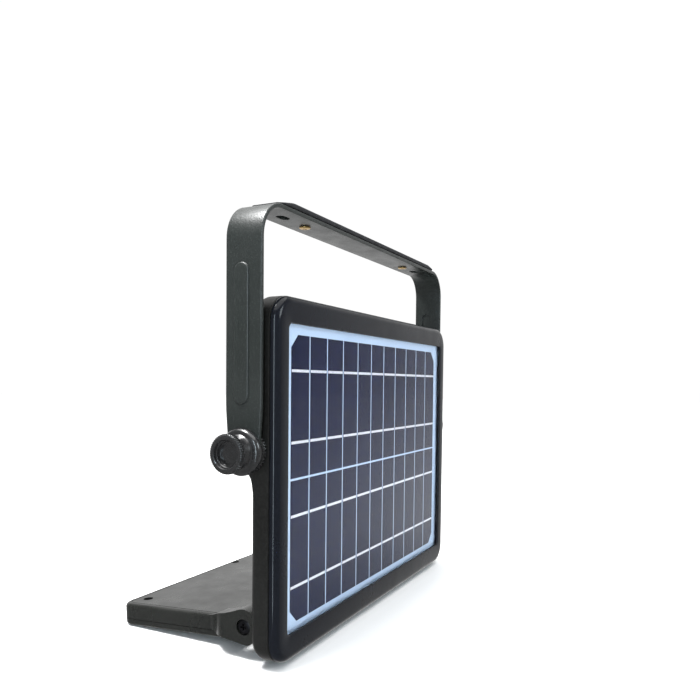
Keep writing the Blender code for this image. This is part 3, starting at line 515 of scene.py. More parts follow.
def quarter(inset, level, radius, start, steps=6):
    """A fillet for a section: start 90 rounds from the back to the wall, 180 from the wall to the front, and
    270 from the front into an opening."""
    return arc((inset, level), radius, start, start + 90, steps)


# ---- pieces ----

def finish_piece(obj, body, look, replaced=(), bevel=0.0, tilt=None):
    if tilt is not None:
        obj.data.transform(tilt)
    obj.data.materials.clear()
    obj.data.materials.append(look)
    obj.data.shade_smooth()
    obj.data.set_sharp_from_angle(angle=SHARP_ANGLE)
    if bevel:
        edge = obj.modifiers.new("soft_edges", "BEVEL")
        edge.width = bevel
        edge.segments = 2
        edge.limit_method = "ANGLE"
        edge.angle_limit = BEVEL_ANGLE
        edge.harden_normals = True
    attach(obj, body)
    if replaced:
        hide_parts(*replaced)


def mesh_object(name, build):
    bmesh.ops.remove_doubles(build, verts=build.verts, dist=WELD)
    bmesh.ops.recalc_face_normals(build, faces=build.faces)
    mesh = bpy.data.meshes.new(name)
    build.to_mesh(mesh)
    build.free()
    made = bpy.data.objects.new(name, mesh)
    bpy.context.scene.collection.objects.link(made)
    return made


def loft(name, loops, ring=False):
    build = bmesh.new()
    rows = [[build.verts.new(point) for point in loop] for loop in loops]
    count = len(rows[0])
    pairs = list(zip(rows, rows[1:]))
    if ring:
        pairs.append((rows[-1], rows[0]))
    for low, high in pairs:
        for index in range(count):
            after = (index + 1) % count
            build.faces.new((low[index], low[after], high[after], high[index]))
    if not ring:
        build.faces.new(rows[0][::-1])
        build.faces.new(rows[-1])
    return mesh_object(name, build)


def around(axis, along, a, b):
    """A spot at this distance along the axis, with (a, b) across it."""
    return {"X": (along, a, b), "Y": (b, along, a), "Z": (a, b, along)}[axis]


def turned(name, axis, centre, profile, sides=64, ring=False, reach=None):
    """Turns (distance, radius) points about an axis. reach(row, share of a turn) changes a radius."""
    loops = []
    for row, (along, radius) in enumerate(profile):
        loop = []
        for index in range(sides):
            turn = index / sides
            here = radius + (reach(row, turn) if reach else 0.0)
            a, b = here * math.cos(math.tau * turn), here * math.sin(math.tau * turn)
            loop.append(Vector(centre) + Vector(around(axis, along, a, b)))
        loops.append(loop)
    return loft(name, loops, ring)


def rod(name, axis, centre, start, stop, radius, sides):
    return turned(name, axis, centre, [(start, radius), (stop, radius)], sides)


def stepped_hole(axis, centre, narrow, wide, start, floor, mouth, sides=32):
    """A hole that is narrow from its start to its floor, and wide from there to its mouth."""
    profile = [(start, narrow), (floor, narrow), (floor, wide), (mouth, wide)]
    return turned("well", axis, centre, profile, sides)


def extruded(name, axis, outline, start, stop):
    loops = []
    for along in (start, stop):
        if axis == "X":
            loops.append([(along, a, b) for a, b in outline])
        elif axis == "Y":
            loops.append([(a, along, b) for a, b in outline])
        else:
            loops.append([(a, b, along) for a, b in outline])
    return loft(name, loops)


def box(name, low, high):
    outline = [(low[0], low[1]), (high[0], low[1]), (high[0], high[1]), (low[0], high[1])]
    return extruded(name, "Z", outline, low[2], high[2])


def carve(target, added=(), removed=()):
    """Adds and removes shapes exactly, keeps the result as the target's mesh and deletes the tools."""
    for others, operation in ((added, "UNION"), (removed, "DIFFERENCE")):
        for other in others:
            step = target.modifiers.new(other.name, "BOOLEAN")
            step.operation = operation
            step.solver = "EXACT"
            step.object = other
    bpy.context.view_layer.update()
    graph = bpy.context.evaluated_depsgraph_get()
    mesh = bpy.data.meshes.new_from_object(target.evaluated_get(graph))
    target.modifiers.clear()
    target.data = mesh
    for other in [*added, *removed]:
        bpy.data.objects.remove(other)


def joined(name, objects):
    """One object with the meshes of several, which stay separate shells."""
    build = bmesh.new()
    for obj in objects:
        build.from_mesh(obj.data)
        bpy.data.objects.remove(obj)
    mesh = bpy.data.meshes.new(name)
    build.to_mesh(mesh)
    build.free()
    made = bpy.data.objects.new(name, mesh)
    bpy.context.scene.collection.objects.link(made)
    return made


# ---- housing ----

def housing_loop(inset, y, drop=0.0):
    outline = rounded_rect(HALF_W - inset, HALF_H - inset - drop, max(CORNER - inset, 0.003))
    return [(x, y, MID_Z + z) for x, z in outline]


def front_bezel():
    front, back = bezel_low.y, bezel_high.y
    section = [(EDGE, back), (0.0, back - EDGE)]
    section += quarter(FRONT_FILLET, front + FRONT_FILLET, FRONT_FILLET, 180, 10)
    lip = quarter(LIP_INSET - LIP_ROUND, front + LIP_ROUND, LIP_ROUND, 270, 4)
    lip += [(LIP_INSET, LIP_BACK_Y), (RABBET_INSET, LIP_BACK_Y), (RABBET_INSET, back)]
    section += [(*spot, WINDOW_DROP) for spot in lip]
    piece = loft("bezel", [housing_loop(*spot) for spot in section], ring=True)
    finish_piece(piece, "housing", BEZEL, ["front_bezel"])


def boss_outline():
    front = PIVOT.y - BOSS_ROOT
    points = [(front, PIVOT.z - BOSS_REACH)]
    points += [(PIVOT.y + y, PIVOT.z + z) for y, z in BOSS_FLANK]
    points += arc((PIVOT.y, PIVOT.z), BOSS_R, -84, 84, 32)
    points += [(PIVOT.y + y, PIVOT.z - z) for y, z in reversed(BOSS_FLANK)]
    points.append((front, PIVOT.z + BOSS_REACH))
    return points


def lug_outline():
    root = BACK_Y - LUG_ROOT
    points = [(root, HINGE.z - LUG_R)]
    points += arc((HINGE.y, HINGE.z), LUG_R, -90, 80, 24)
    points.append((root, HINGE.z + LUG_TOP))
    return points


def rear_shell():
    low = shell_low.y
    edge = quarter(BACK_FILLET, BACK_Y - BACK_FILLET, BACK_FILLET, 90, 8)
    inner = [(SHELL_WALL, low), (SHELL_WALL, BACK_Y - BACK_FILLET), (BACK_FILLET, BACK_Y - SHELL_WALL)]
    section = [*edge, (0.0, low + EDGE), (EDGE, low), *inner]
    shell = loft("shell", [housing_loop(*spot) for spot in section])
    added, removed = [], []
    for sign in SIGNS:
        added.append(extruded("boss", "X", boss_outline(), sign * BOSS_INNER, sign * (HALF_W - SKIN)))
        added.append(extruded("lug", "X", lug_outline(), sign * LUG_INNER, sign * LUG_OUTER))
        start, stop = sign * (BOSS_INNER + INSERT_FLOOR), sign * (HALF_W + CUT)
        removed.append(rod("bore", "X", PIVOT, start, stop, INSERT_R, 48))
        start, stop = sign * (LUG_INNER - CUT), sign * (LUG_OUTER + CUT)
        removed.append(rod("pin", "X", (0, HINGE.y, HINGE.z), start, stop, HINGE_BORE_R, 32))
    tower_r, well_r, well_start, well_depth = 0.0042, 0.0032, -0.006, 0.0030
    for x, z in SHELL_SCREWS:
        added.append(rod("tower", "Y", (x, 0, z), low + 0.0004, BACK_Y - OVERLAP, tower_r, 24))
        floor = BACK_Y - well_depth
        removed.append(stepped_hole("Y", (x, 0, z), SCREW_HOLE_R, well_r, well_start, floor, BACK_Y + CUT))
    for row in range(BACK_RIBS["count"]):
        z = BACK_RIBS["low"] + row * BACK_RIBS["pitch"]
        rib = lying_stadium((0, z), BACK_RIBS["half_length"], BACK_RIBS["radius"], 8)
        added.append(extruded("rib", "Y", rib, BACK_Y - OVERLAP, BACK_Y + BACK_RIBS["rise"]))
    half_w, half_h = CELL_WINDOW["half_w"], CELL_WINDOW["half_h"]
    window_low = (-half_w, BACK_Y - CELL_WINDOW["depth"], CELL_AXIS_Z - half_h)
    removed.append(box("window", window_low, (half_w, BACK_Y + CUT, CELL_AXIS_Z + half_h)))
    carve(shell, added, removed)
    finish_piece(shell, "housing", SHELL, ["rear_shell"], 0.0003)


def screw_piece(name, place, axis, toward, size, look, body, tilt=None):
    """A pan-head screw with a cross recess. place is the middle of its head's top. toward is 1 or -1, and
    points along the axis to its tip."""
    head_r, head_t, length = size
    shank_r = head_r * SHANK_SHARE
    profile = [(0.0, 0.0004), *[(head_t * along, head_r * share) for along, share in SCREW_DOME]]
    profile += [(head_t, shank_r), (length, shank_r * 0.9)]
    screw = turned(f"{name}_detail", axis, (0, 0, 0), [(toward * along, r) for along, r in profile], 32)
    cutters = []
    for wide, narrow in ((CROSS_LONG, CROSS_SHORT), (CROSS_SHORT, CROSS_LONG)):
        loops = []
        for along, scale in ((-toward * 0.001, 1.0), (toward * head_t * CROSS_DEPTH, CROSS_TAPER)):
            a, b = head_r * wide * scale, head_r * narrow * scale
            loops.append([around(axis, along, x, y) for x, y in [(-a, -b), (a, -b), (a, b), (-a, b)]])
        cutters.append(loft("cross", loops))
    carve(screw, (), cutters)
    screw.data.transform(Matrix.Translation(Vector(place)))
    finish_piece(screw, body, look, [name], 0.0, tilt)


def housing_screws():
    for kind, places, top, size in (("shell", SHELL_SCREWS, BACK_Y - 0.0008, SHELL_SCREW),
                                    ("cover", COVER_SCREWS, cover_high.y - 0.0030, COVER_SCREW)):
        for index, (x, z) in enumerate(places):
            name = f"{kind}_screw_{index + 1}"
            screw_piece(name, (x, top, z), "Y", -1, size, DARK_STEEL, "housing")


# ---- solar panel ----

def strip_outline(left, right, low, high, chamfered):
    """One strip in X and Z. chamfered is the corner that is cut off, as (side, end), or None."""
    corners = [(left, low, -1, -1), (right, low, 1, -1), (right, high, 1, 1), (left, high, -1, 1)]
    points = []
    for x, z, side, end in corners:
        if chamfered != (side, end):
            points.append((x, z))
            continue
        cut = [(x, z - end * CHAMFER), (x - side * CHAMFER, z)]
        points += cut if side * end > 0 else cut[::-1]
    return points


def strip_ribbon(left, z, front):
    """The ribbon across one strip, with its solder beads."""
    right = left + STRIP_W
    low_z, high_z = z - RIBBON_W / 2, z + RIBBON_W / 2
    start, stop = left + RIBBON_CLEAR, right - RIBBON_CLEAR
    outline = [(start, low_z), (stop, low_z), (stop, high_z), (start, high_z)]
    pieces = [extruded("ribbon", "Y", outline, front - RIBBON_RISE, front + RIBBON_SINK)]
    for spot in range(BEADS):
        x = left + STRIP_W * (spot + 0.5) / BEADS
        pieces.append(turned("bead", "Y", (x, 0, z), [(front + along, r) for along, r in BEAD], 10))
    return pieces


def solar_cells():
    back = cells_high.y
    front = back - CELL_T
    total = STRIPS * STRIP_W + (STRIPS - 1) * STRIP_GAP
    rows = (("upper", cells_low.z, cells_high.z, 1), ("lower", lower_cells_low.z, lower_cells_high.z, -1))
    for row, low, high, end in rows:
        strips, ribbons = [], []
        for index in range(STRIPS):
            left = -total / 2 + index * (STRIP_W + STRIP_GAP)
            side = -1 if index == 0 else 1 if index == STRIPS - 1 else 0
            outline = strip_outline(left, left + STRIP_W, low, high, (side, end) if side else None)
            strips.append(extruded("strip", "Y", outline, front, back))
            for z in (low + RIBBON_OFFSET, high - RIBBON_OFFSET):
                ribbons += strip_ribbon(left, z, front)
        cells = joined(f"cells_{row}", strips)
        finish_piece(cells, "housing", SILICON, [f"solar_cells_{row}"])
        finish_piece(joined(f"ribbons_{row}", ribbons), "housing", RIBBON, ())
    low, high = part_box("solar_backsheet")
    outline = rounded_rect(high.x, (high.z - low.z) / 2, SHEET_CORNER, 10)
    sheet = extruded("backing_sheet", "Y", [(x, MID_Z + z) for x, z in outline], back + 0.00001, high.y)
    finish_piece(sheet, "housing", SHEET, ["solar_backsheet"], 0.00005)


# ---- battery compartment ----

def cover_loop(inset, y):
    mid = (cover_low.z + cover_high.z) / 2
    half_h = (cover_high.z - cover_low.z) / 2
    outline = rounded_rect(cover_high.x - inset, half_h - inset, max(COVER_CORNER - inset, 0.002), 10)
    return [(x, y, mid + z) for x, z in outline]


def battery_cover():
    back = cover_high.y
    edge = quarter(COVER_FILLET, back - COVER_FILLET, COVER_FILLET, 90, 8)
    inner = [(COVER_WALL, cover_low.y), (COVER_WALL, back - COVER_FILLET), (COVER_FILLET, back - COVER_WALL)]
    cover = loft("compartment_cover", [cover_loop(*spot) for spot in [*edge, (0.0, cover_low.y), *inner]])
    added, removed = [], []
    tower_r, well_r, well_start, well_depth, well_end = 0.0045, 0.0034, 0.004, 0.005, 0.032
    for x, z in COVER_SCREWS:
        added.append(rod("tower", "Y", (x, 0, z), cover_low.y + 0.0003, back - OVERLAP, tower_r, 24))
        floor = back - well_depth
        removed.append(stepped_hole("Y", (x, 0, z), SCREW_HOLE_R, well_r, well_start, floor, well_end))
    pocket_low = (PORT_X - 0.010, 0.023, CONTROL_Z - 0.0072)
    added.append(box("pocket", pocket_low, (PORT_X + 0.010, back - 0.0012, CONTROL_Z + 0.0072)))
    removed.append(rod("button_hole", "Y", (BUTTON_X, 0, CONTROL_Z), *CONTROL_HOLES, BUTTON_HOLE_R, 40))
    removed.append(rod("lens_hole", "Y", (LENS_X, 0, CONTROL_Z), *CONTROL_HOLES, LENS_HOLE_R, 24))
    recess_low = (PORT_X - 0.0075, back - 0.0022, CONTROL_Z - 0.0052)
    removed.append(box("recess", recess_low, (PORT_X + 0.0075, back + CUT, CONTROL_Z + 0.0050)))
    outline = rounded_rect(MOUTH["half_w"], MOUTH["half_h"], MOUTH["corner"], 6)
    mouth = [(PORT_X + x, CONTROL_Z + z) for x, z in outline]
    removed.append(extruded("mouth", "Y", mouth, CONTROL_HOLES[0], back))
    for row in range(COVER_GROOVES["count"]):
        z = cover_low.z + COVER_GROOVES["low"] + row * COVER_GROOVES["pitch"]
        groove = lying_stadium((0, z), COVER_GROOVES["half_length"], COVER_GROOVES["radius"], 6)
        removed.append(extruded("groove", "Y", groove, back - COVER_GROOVES["depth"], back + 0.001))
    carve(cover, added, removed)
    finish_piece(cover, "housing", SHELL, ["battery_cover"], 0.0002)


def controls():
    button = turned("button_cap", "Y", (BUTTON_X, cover_high.y, CONTROL_Z), BUTTON_PROFILE, 48)
    finish_piece(button, "button", RUBBER, ["power_button"])
    flap_low, flap_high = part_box("port_cover")
    half_t = (flap_high.y - flap_low.y) / 2
    mid_y = (flap_high.y + flap_low.y) / 2
    outline = arc((mid_y, flap_low.z + half_t), half_t, 180, 360, 16)
    outline += arc((mid_y + half_t - EDGE, flap_high.z - EDGE), EDGE, 0, 90, 5)
    outline.append((mid_y - half_t, flap_high.z))
    flap = extruded("socket_flap_cover", "X", outline, flap_low.x, flap_high.x)
    nail = lying_stadium((PORT_X, flap_high.z), NAIL["half_w"], NAIL["radius"], 8)
    carve(flap, (), [extruded("nail", "Y", nail, mid_y + 0.0001, mid_y + CUT)])
    finish_piece(flap, "socket_flap", RUBBER, ["port_cover"], 0.00015)
    port_low, port_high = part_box("usb_port")
    tongue_low = (PORT_X - TONGUE["half_w"], port_low.y + 0.0011, CONTROL_Z - TONGUE["half_h"])
    tongue_high = (PORT_X + TONGUE["half_w"], port_high.y - 0.0012, CONTROL_Z + TONGUE["half_h"])
    tongue = box("socket_tongue", tongue_low, tongue_high)
    finish_piece(tongue, "housing", GASKET, (), 0.0001)


# ---- bracket ----

def strap_section(x, z, out_x, out_z, half_w):
    """A section of the strap with rounded edges. (out_x, out_z) points to its outer face."""
    spots = rounded_rect(STRAP_T / 2, half_w, STRAP_EDGE, 4)
    return [(x + out_x * out, PIVOT.y + y, z + out_z * out) for out, y in spots]


def smooth_step(value):
    value = min(max(value, 0.0), 1.0)
    return value * value * (3 - 2 * value)


def strap_half():
    """Sections of one leg, from the ear's lower end up to the bar."""
    leg_x = strap_high.x - RIB["rise"] - STRAP_T / 2
    bar_z = strap_high.z - STRAP_T / 2
    bend = BEND_R - STRAP_T / 2
    full = (strap_high.y - strap_low.y) / 2
    sections = []
    for degrees in range(8, 90, 8):
        down, half_w = EAR_R * math.cos(math.radians(degrees)), EAR_R * math.sin(math.radians(degrees))
        sections.append(strap_section(leg_x, PIVOT.z - down, 1, 0, half_w))
    for step in range(13):
        rise = EAR_RISE * step / 12
        half_w = EAR_R + (full - EAR_R) * smooth_step((rise - EAR_FLAT) / (EAR_RISE - EAR_FLAT))
        sections.append(strap_section(leg_x, PIVOT.z + rise, 1, 0, half_w))
    for degrees in range(0, 91, 5):
        out_x, out_z = math.cos(math.radians(degrees)), math.sin(math.radians(degrees))
        x, z = leg_x - bend + bend * out_x, bar_z - bend + bend * out_z
        sections.append(strap_section(x, z, out_x, out_z, full))
    return sections


def pressed_rib(sign, outer, middle, half_length):
    """The rib's raised outer face, which rounds over to its top."""
    steps = [(-OVERLAP, 0.0), (0.0, 0.0)]
    for share in RIB_STEPS:
        steps.append((RIB["rise"] * share, RIB["rise"] * 1.5 * (1 - math.sqrt(1 - share * share))))
    loops = []
    for out, shrink in steps:
        outline = stadium(middle, half_length - shrink, RIB["width"] / 2 - shrink)
        loops.append([(sign * (outer + out), y, z) for y, z in outline])
    return loft("rib", loops)


def bracket_strap():
    half = strap_half()
    other = [[(-x, y, z) for x, y, z in loop] for loop in reversed(half)]
    strap = loft("strap", half + other)
    outer = strap_high.x - RIB["rise"]
    inner = outer - STRAP_T
    middle = (PIVOT.y + RIB["y"], PIVOT.z + (RIB["low"] + RIB["high"]) / 2)
    half_length = (RIB["high"] - RIB["low"]) / 2
    rib_wall = 0.001
    added, removed = [], []
    for sign in SIGNS:
        added.append(pressed_rib(sign, outer, middle, half_length))
        groove = stadium(middle, half_length - rib_wall, RIB["width"] / 2 - rib_wall)
        start, stop = sign * (inner - OVERLAP), sign * (inner + RIB["rise"])
        removed.append(extruded("groove", "X", groove, start, stop))
        start, stop = sign * (inner - CUT), sign * (outer + CUT)
        removed.append(rod("ear_hole", "X", PIVOT, start, stop, EAR_HOLE_R, 48))
        slot = lying_stadium((sign * SLOT_X, PIVOT.y), SLOT_HALF, SLOT_R)
        removed.append(extruded("slot", "Z", slot, strap_high.z - 0.006, strap_high.z + CUT))
    carve(strap, added, removed)
    finish_piece(strap, "bracket", COAT, ["bracket_strap"], 0.0002)


def grip_sections():
    """Sections along the pad. Half of them lie near its ends, where it thins out and rounds off."""
    half_l, half_w = grip_high.x, (grip_high.y - grip_low.y) / 2
    full_t = grip_high.z - grip_low.z
    loops = []
    for step in range(-GRIP_ROWS, GRIP_ROWS + 1):
        share = abs(step) / GRIP_ROWS
        if share > 0.5:
            along = math.copysign(half_l - GRIP_END * (1 - share) / 0.5, step)
        else:
            along = half_l * GRIP_MIDDLE * step / (GRIP_ROWS / 2)
        from_end = half_l - abs(along)
        height = GRIP_TIP_T + (full_t - GRIP_TIP_T) * smooth_step(from_end / GRIP_TAPER)
        width = half_w - GRIP_TIP_INSET * (1 - min(from_end / GRIP_TIP_ROUND, 1.0)) ** 2
        outline = rounded_rect(width, height / 2, min(GRIP_SIDE_ROUND, height * 0.45), 5)
        loops.append([(along, PIVOT.y + y, grip_low.z + height / 2 + z) for y, z in outline])
    return loops


def handle_grip():
    top = grip_high.z
    half_w = (grip_high.y - grip_low.y) / 2
    grip = loft("grip_pad", grip_sections())
    count, radius, depth = (GRIP_GROOVES[key] for key in ("count", "radius", "depth"))
    grooves = []
    for index in range(count):
        x = (index - (count - 1) / 2) * GRIP_GROOVES["pitch"]
        line = stadium((x, PIVOT.y), half_w - GRIP_GROOVES["margin"], radius, 6)
        grooves.append(extruded("groove", "Z", line, top - depth, top + 0.001))
    carve(grip, (), grooves)
    finish_piece(grip, "bracket", RUBBER, ["handle_grip"], 0.00015)
    for side, sign in SIDES:
        name = f"grip_screw_{side}"
        place = (sign * GRIP_SCREW_X, PIVOT.y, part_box(name)[0].z)
        screw_piece(name, place, "Z", 1, GRIP_SCREW, BRASS, "bracket")


# ---- knobs ----

def knob_profile():
    """The knob's outline, from its bore round the flange, neck, rim and hollow face, and its knurled rows."""
    start, end = knob_low.x, knob_high.x
    radius = (knob_high.z - knob_low.z) / 2
    ring_x = end - KNOB_RING
    flange_t, flange_round = 0.0016, 0.0024
    profile = [(end - 0.0049, STUD_R), (start, STUD_R), (start, radius - EDGE)]
    profile += arc((start + EDGE, radius - EDGE), EDGE, 180, 90, 4)
    profile += [(start + flange_t, radius)]
    profile += arc((start + flange_t, radius - flange_round), flange_round, 80, 20, 6)
    profile += [(start + along, r) for along, r in KNOB_NECK]
    profile += [(ring_x + along, r) for along, r in KNOB_WAIST]
    knurled = range(len(profile) + 1, len(profile) + 6)
    chamfered = KNOB_RIM - 0.0003
    profile += [(ring_x, 0.0092), (ring_x + 0.0004, chamfered), (ring_x + 0.0009, KNOB_RIM)]
    profile += [(ring_x + 0.0020, KNOB_RIM), (end - 0.0009, KNOB_RIM), (end - 0.0004, chamfered)]
    profile += [(end, 0.0093), (end, 0.0077)]
    profile += [(end + along, r) for along, r in KNOB_FACE]
    return profile, knurled


def wave_at(turn, teeth):
    """0 in the middle of a groove, and 1 halfway to the next one."""
    return abs(((turn * teeth) % 1.0) * 2 - 1)


def knob_detail(side, sign):
    profile, knurled = knob_profile()

    def knurl(row, turn):
        if row not in knurled:
            return 0.0
        return -KNOB_KNURL * smooth_step(1 - wave_at(turn, KNOB_TEETH) * 1.25)

    mirrored = [(sign * along, r) for along, r in profile]
    knob = turned(f"knob_{side}_detail", "X", PIVOT, mirrored, KNOB_TEETH * 6, False, knurl)
    finish_piece(knob, f"{side}_knob", KNOB, [f"knob_{side}"])


def lock_disc_detail(side, sign):
    start, stop = sign * disc_low.x, sign * disc_high.x
    radius = (disc_high.z - disc_low.z) / 2
    step = sign * EDGE
    profile = [(start, STUD_R), (start, radius - EDGE), (start + step, radius)]
    profile += [(stop - 3 * step, radius), (stop - 2 * step, radius - 0.0003)]
    profile += [(stop - step, radius - 0.0009), (stop, radius - 0.0012), (stop, STUD_R)]

    def tooth(row, turn):
        if not 1 <= row <= 6:
            return 0.0
        return -DISC_TOOTH * smooth_step((0.75 - wave_at(turn, DISC_TEETH)) * 2.2)

    disc = turned(f"lock_disc_{side}_detail", "X", PIVOT, profile, DISC_TEETH * 6, True, tooth)
    finish_piece(disc, "housing", KNOB, [f"lock_disc_{side}"])


# ---- lamp head ----

def head_loop(inset, z):
    middle, half_length = (HEAD_NEAR + HEAD_FAR) / 2, (HEAD_FAR - HEAD_NEAR) / 2
    outline = rounded_rect(HEAD_HALF_W - inset, half_length - inset, max(HEAD_CORNER - inset, 0.002), 10)
    return [(x, middle + y, z) for x, y in outline]


def window_loop(grow, z):
    middle, half_length = (WINDOW["near"] + WINDOW["far"]) / 2, (WINDOW["far"] - WINDOW["near"]) / 2
    outline = rounded_rect(WINDOW["half_w"] + grow, half_length + grow, WINDOW_CORNER, 8)
    return [(x, middle + y, z) for x, y in outline]


def knuckle_outline():
    points = [(KNUCKLE_REACH, HEAD_SPLIT + EDGE)]
    points += arc((0, 0), KNUCKLE_R, 262, 62, 40)
    points.append((KNUCKLE_REACH, KNUCKLE_TOP))
    return points


def gusset(sign):
    """The arm's blend into the head's side. It narrows and drops along an S curve, clear of the lug."""
    low, ledge = HEAD_SPLIT + EDGE, HEAD_BACK - 0.0006
    inner, step_x = 0.1065, 0.1112
    start, length, steps = HEAD_NEAR + 0.0015, 0.0185, 24
    loops = []
    for step in range(steps + 1):
        share = step / steps
        y = start + length * share
        outer = ARM_OUTER - SKIN - (ARM_OUTER - HEAD_HALF_W) * smooth_step((share - 0.1) / 0.9)
        top = ARM_TOP - (ARM_TOP - HEAD_BACK + 0.0003) * smooth_step((share - 0.05) / 0.95)
        section = [(step_x, ledge), (inner, ledge), (inner, low), (outer, low), (outer, top), (step_x, top)]
        loops.append([(sign * x, y, z) for x, z in section])
    return loft("gusset", loops)


def head_rear_shell():
    fillet = 0.0025
    low = HEAD_SPLIT + HEAD_SEAM / 2
    edge = quarter(fillet, HEAD_BACK - fillet, fillet, 90, 8)
    line, line_depth = 0.0034, 0.0003
    groove = [(line + 0.0005, HEAD_BACK), (line + 0.0004, HEAD_BACK - line_depth),
              (line, HEAD_BACK - line_depth), (line - 0.0001, HEAD_BACK)]
    section = [*groove, *edge, (0.0, low), (HEAD_WALL, low), (HEAD_WALL, HEAD_BACK - HEAD_WALL)]
    shell = loft("head_shell", [head_loop(*spot) for spot in section])
    added, removed = [], []
    pin_r, pin_head_r, pin_head_depth = 0.0027, 0.0045, 0.0022
    for sign in SIGNS:
        added.append(extruded("knuckle", "X", knuckle_outline(), sign * ARM_INNER, sign * ARM_OUTER))
        added.append(gusset(sign))
        levels = (ARM_INNER - CUT, ARM_OUTER - pin_head_depth, ARM_OUTER + CUT)
        start, floor, mouth = (sign * level for level in levels)
        removed.append(stepped_hole("X", (0, 0, 0), pin_r, pin_head_r, start, floor, mouth, 48))
    tower_r, hole_r, well_r, well_depth, well_end = 0.0044, 0.0016, 0.0030, 0.0045, 0.004
    for x, y in HEAD_SCREWS:
        added.append(rod("tower", "Z", (x, y, 0), low + HEAD_SEAM, HEAD_BACK - OVERLAP, tower_r, 24))
        floor = HEAD_BACK - well_depth
        removed.append(stepped_hole("Z", (x, y, 0), hole_r, well_r, HEAD_SPLIT - CUT, floor, well_end, 40))
    carve(shell, added, removed)
    finish_piece(shell, "lamp_head", HEAD, ["head_rear_shell"], 0.0003, HEAD_TILT)


def head_front_frame():
    high = HEAD_SPLIT - HEAD_SEAM / 2
    fillet, lip_top = 0.0015, HEAD_FRONT + 0.0010
    section = [(0.0, high), *quarter(fillet, HEAD_FRONT + fillet, fillet, 180, 6)]
    frame_piece = loft("head_frame", [head_loop(*spot) for spot in section])
    funnel = [(0.0035, HEAD_FRONT - 0.001), (0.0, HEAD_FRONT + 0.0007), (0.0, lip_top + 0.001)]
    rabbet = [(0.002, lip_top), (0.002, high + CUT)]
    removed = [loft("opening", [window_loop(*spot) for spot in funnel]),
               loft("rabbet", [window_loop(*spot) for spot in rabbet])]
    carve(frame_piece, (), removed)
    finish_piece(frame_piece, "lamp_head", HEAD, ["head_front_frame"], 0.0002, HEAD_TILT)


def led_chips():
    """Packages with a phosphor face, standing on the board's lit side."""
    packages, faces = [], []
    middle = (WINDOW["near"] + WINDOW["far"]) / 2
    half_x, half_y = LEDS["half_x"], LEDS["half_y"]
    for column in range(LEDS["columns"]):
        for row in range(LEDS["rows"]):
            x = (column - (LEDS["columns"] - 1) / 2) * LEDS["pitch_x"]
            y = middle + (row - (LEDS["rows"] - 1) / 2) * LEDS["pitch_y"]
            low, high = (x - half_x, y - half_y, LED_FACE), (x + half_x, y + half_y, LED_BASE)
            packages.append(box("package", low, high))
            faces.append(turned("phosphor", "Z", (x, y, 0), LED_DISC, 24))
    for name, pieces, look, bevel in (("led_packages", packages, REFLECTOR, 0.0001),
                                      ("led_faces", faces, PHOSPHOR, 0.0)):
        finish_piece(joined(name, pieces), "lamp_head", look, (), bevel, HEAD_TILT)


def head_fasteners():
    for index, (x, y) in enumerate(HEAD_SCREWS):
        place = (x, y, HEAD_BACK - 0.0028)
        name = f"head_screw_{index + 1}"
        screw_piece(name, place, "Z", -1, HEAD_SCREW, DARK_STEEL, "lamp_head", HEAD_TILT)
    for side, sign in SIDES:
        place = (sign * (ARM_OUTER - 0.0002), 0, 0)
        name = f"hinge_screw_{side}"
        screw_piece(name, place, "X", -sign, HINGE_SCREW, DARK_STEEL, "lamp_head", HEAD_TILT)


# ---- carried-over CAD nodes ----

def dress_frame():
    looks = {
        PANEL_GLASS: ["solar_glass"],
        LENS_GLASS: ["indicator_lens", "head_lens"],
        GASKET: ["solar_gasket", "junction_block", "battery_tray", "lens_seal"],
        SLEEVE: ["battery_cell_1", "battery_cell_2", "battery_cell_3"],
        BOARD: ["control_board"],
        LED_BOARD: ["led_board"],
        REFLECTOR: ["reflector"],
        ALUMINIUM: ["heat_spreader"],
        STEEL: ["usb_port", "knob_stud_left", "knob_stud_right", "friction_washer_left",
                "friction_washer_right"],
        BRASS: ["pivot_insert_left", "pivot_insert_right"],
    }
    for look, names in looks.items():
        for name in names:
            mesh = frame["nodes"][name].data
            mesh.materials.clear()
            mesh.materials.append(look)


# ---- stage ----

FLOOR_HALF = 6.0
FLOOR_GAP = 0.0005
# Name, place, what it points at, size, power and colour
AREA_LIGHTS = [
    ("edge_strip", (-1.18, -0.38, 0.20), (-0.13, 0, 0.10), (0.10, 1.3), 10.0, (0.75, 0.90, 1.0)),
    ("bend_box", (-0.42, 0.30, 1.25), (-0.13, 0, 0.2), (0.45, 0.30), 30, (1, 1, 1)),
    ("shoulder_box", (0.25, -1.3, 0.75), (-0.14, 0, 0.12), (0.6, 0.5), 8, (0.86, 0.95, 1.0)),
]
BRIGHT_WAY = (0.87, 0.49, 0.0)

def area_light(name, place, target, size, power, colour):
    lamp = bpy.data.lights.new(name, "AREA")
    lamp.shape = "RECTANGLE"
    lamp.size, lamp.size_y = size
    lamp.energy = power
    lamp.color = colour
    holder = bpy.data.objects.new(name, lamp)
    holder.location = place
    holder.rotation_euler = (Vector(target) - Vector(place)).to_track_quat("-Z", "Y").to_euler()
    bpy.context.scene.collection.objects.link(holder)


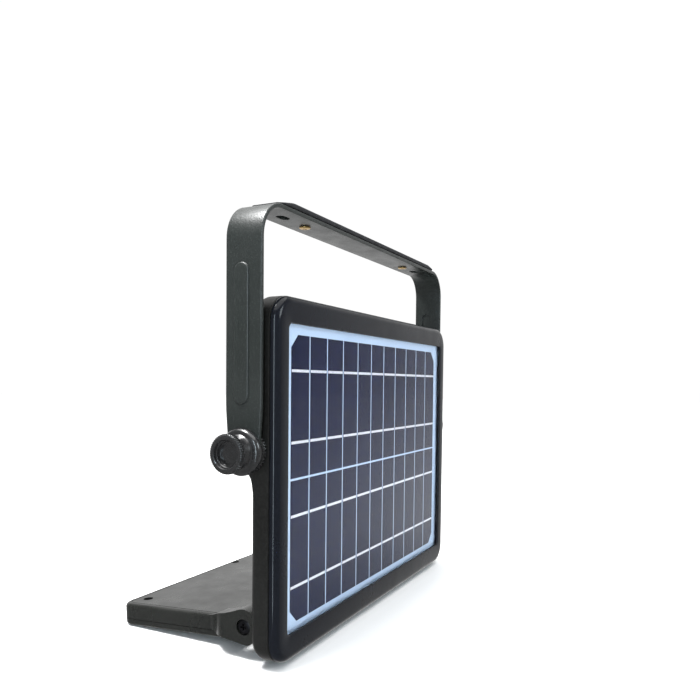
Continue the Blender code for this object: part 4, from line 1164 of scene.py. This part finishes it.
def stage():
    build = bmesh.new()
    bmesh.ops.create_grid(build, x_segments=2, y_segments=2, size=FLOOR_HALF)
    floor = mesh_object("floor", build)
    floor.location.z = cad_box[0][2] - FLOOR_GAP
    look = Look("pale_floor", (0.93, 0.93, 0.93), 0.6)
    patch = look.remap(look.noise(0.8, 2.0), 0.3, 0.7)
    look.colour(look.mix(patch, (0.92, 0.92, 0.92), (0.95, 0.95, 0.95)))
    floor.data.materials.append(look.material)
    floor.visible_glossy = False
    bpy.context.scene.world = studio_world()
    sky = bpy.data.lights.new("overhead", "SUN")
    sky.energy = 3.0
    sky.angle = 1.4
    holder = bpy.data.objects.new("overhead", sky)
    holder.location = (0, 0, 2)
    bpy.context.scene.collection.objects.link(holder)
    for light in AREA_LIGHTS:
        area_light(*light)


def studio_world():
    """A room that is white beyond the object and dim elsewhere, so that black parts keep their contrast."""
    world = bpy.data.worlds.new("studio")
    world.use_nodes = True
    tree = world.node_tree
    place = tree.nodes.new("ShaderNodeTexCoord")
    facing = tree.nodes.new("ShaderNodeVectorMath")
    facing.operation = "DOT_PRODUCT"
    facing.inputs[1].default_value = BRIGHT_WAY
    tree.links.new(place.outputs["Generated"], facing.inputs[0])
    ramp = tree.nodes.new("ShaderNodeMapRange")
    ramp.interpolation_type = "SMOOTHSTEP"
    for socket, value in (("From Min", 0.35), ("From Max", 0.76), ("To Min", 0.32), ("To Max", 1.02)):
        ramp.inputs[socket].default_value = value
    tree.links.new(facing.outputs["Value"], ramp.inputs["Value"])
    background = tree.nodes["Background"]
    background.inputs["Color"].default_value = (1, 1, 1, 1)
    tree.links.new(ramp.outputs["Result"], background.inputs["Strength"])
    return world


def camera():
    data = bpy.data.cameras.new("camera")
    data.sensor_width = 36.0
    data.lens = 34.46
    data.shift_y = 0.082
    data.clip_start = 0.01
    holder = bpy.data.objects.new("camera", data)
    right = Vector((0.4533, -0.8913, 0.0098))
    forward = Vector((0.8909, 0.4527, -0.0357))
    up = right.cross(forward)
    turn = Matrix((right, up, -forward)).transposed()
    holder.matrix_world = Matrix.Translation((-0.4187, -0.1968, 0.1503)) @ turn.to_4x4()
    bpy.context.scene.collection.objects.link(holder)
    bpy.context.scene.camera = holder


def main():
    front_bezel()
    rear_shell()
    housing_screws()
    solar_cells()
    battery_cover()
    controls()
    bracket_strap()
    handle_grip()
    for side, sign in SIDES:
        knob_detail(side, sign)
        lock_disc_detail(side, sign)
    head_rear_shell()
    head_front_frame()
    led_chips()
    head_fasteners()
    dress_frame()
    stage()
    camera()
    bpy.context.scene.view_settings.view_transform = "Standard"


main()
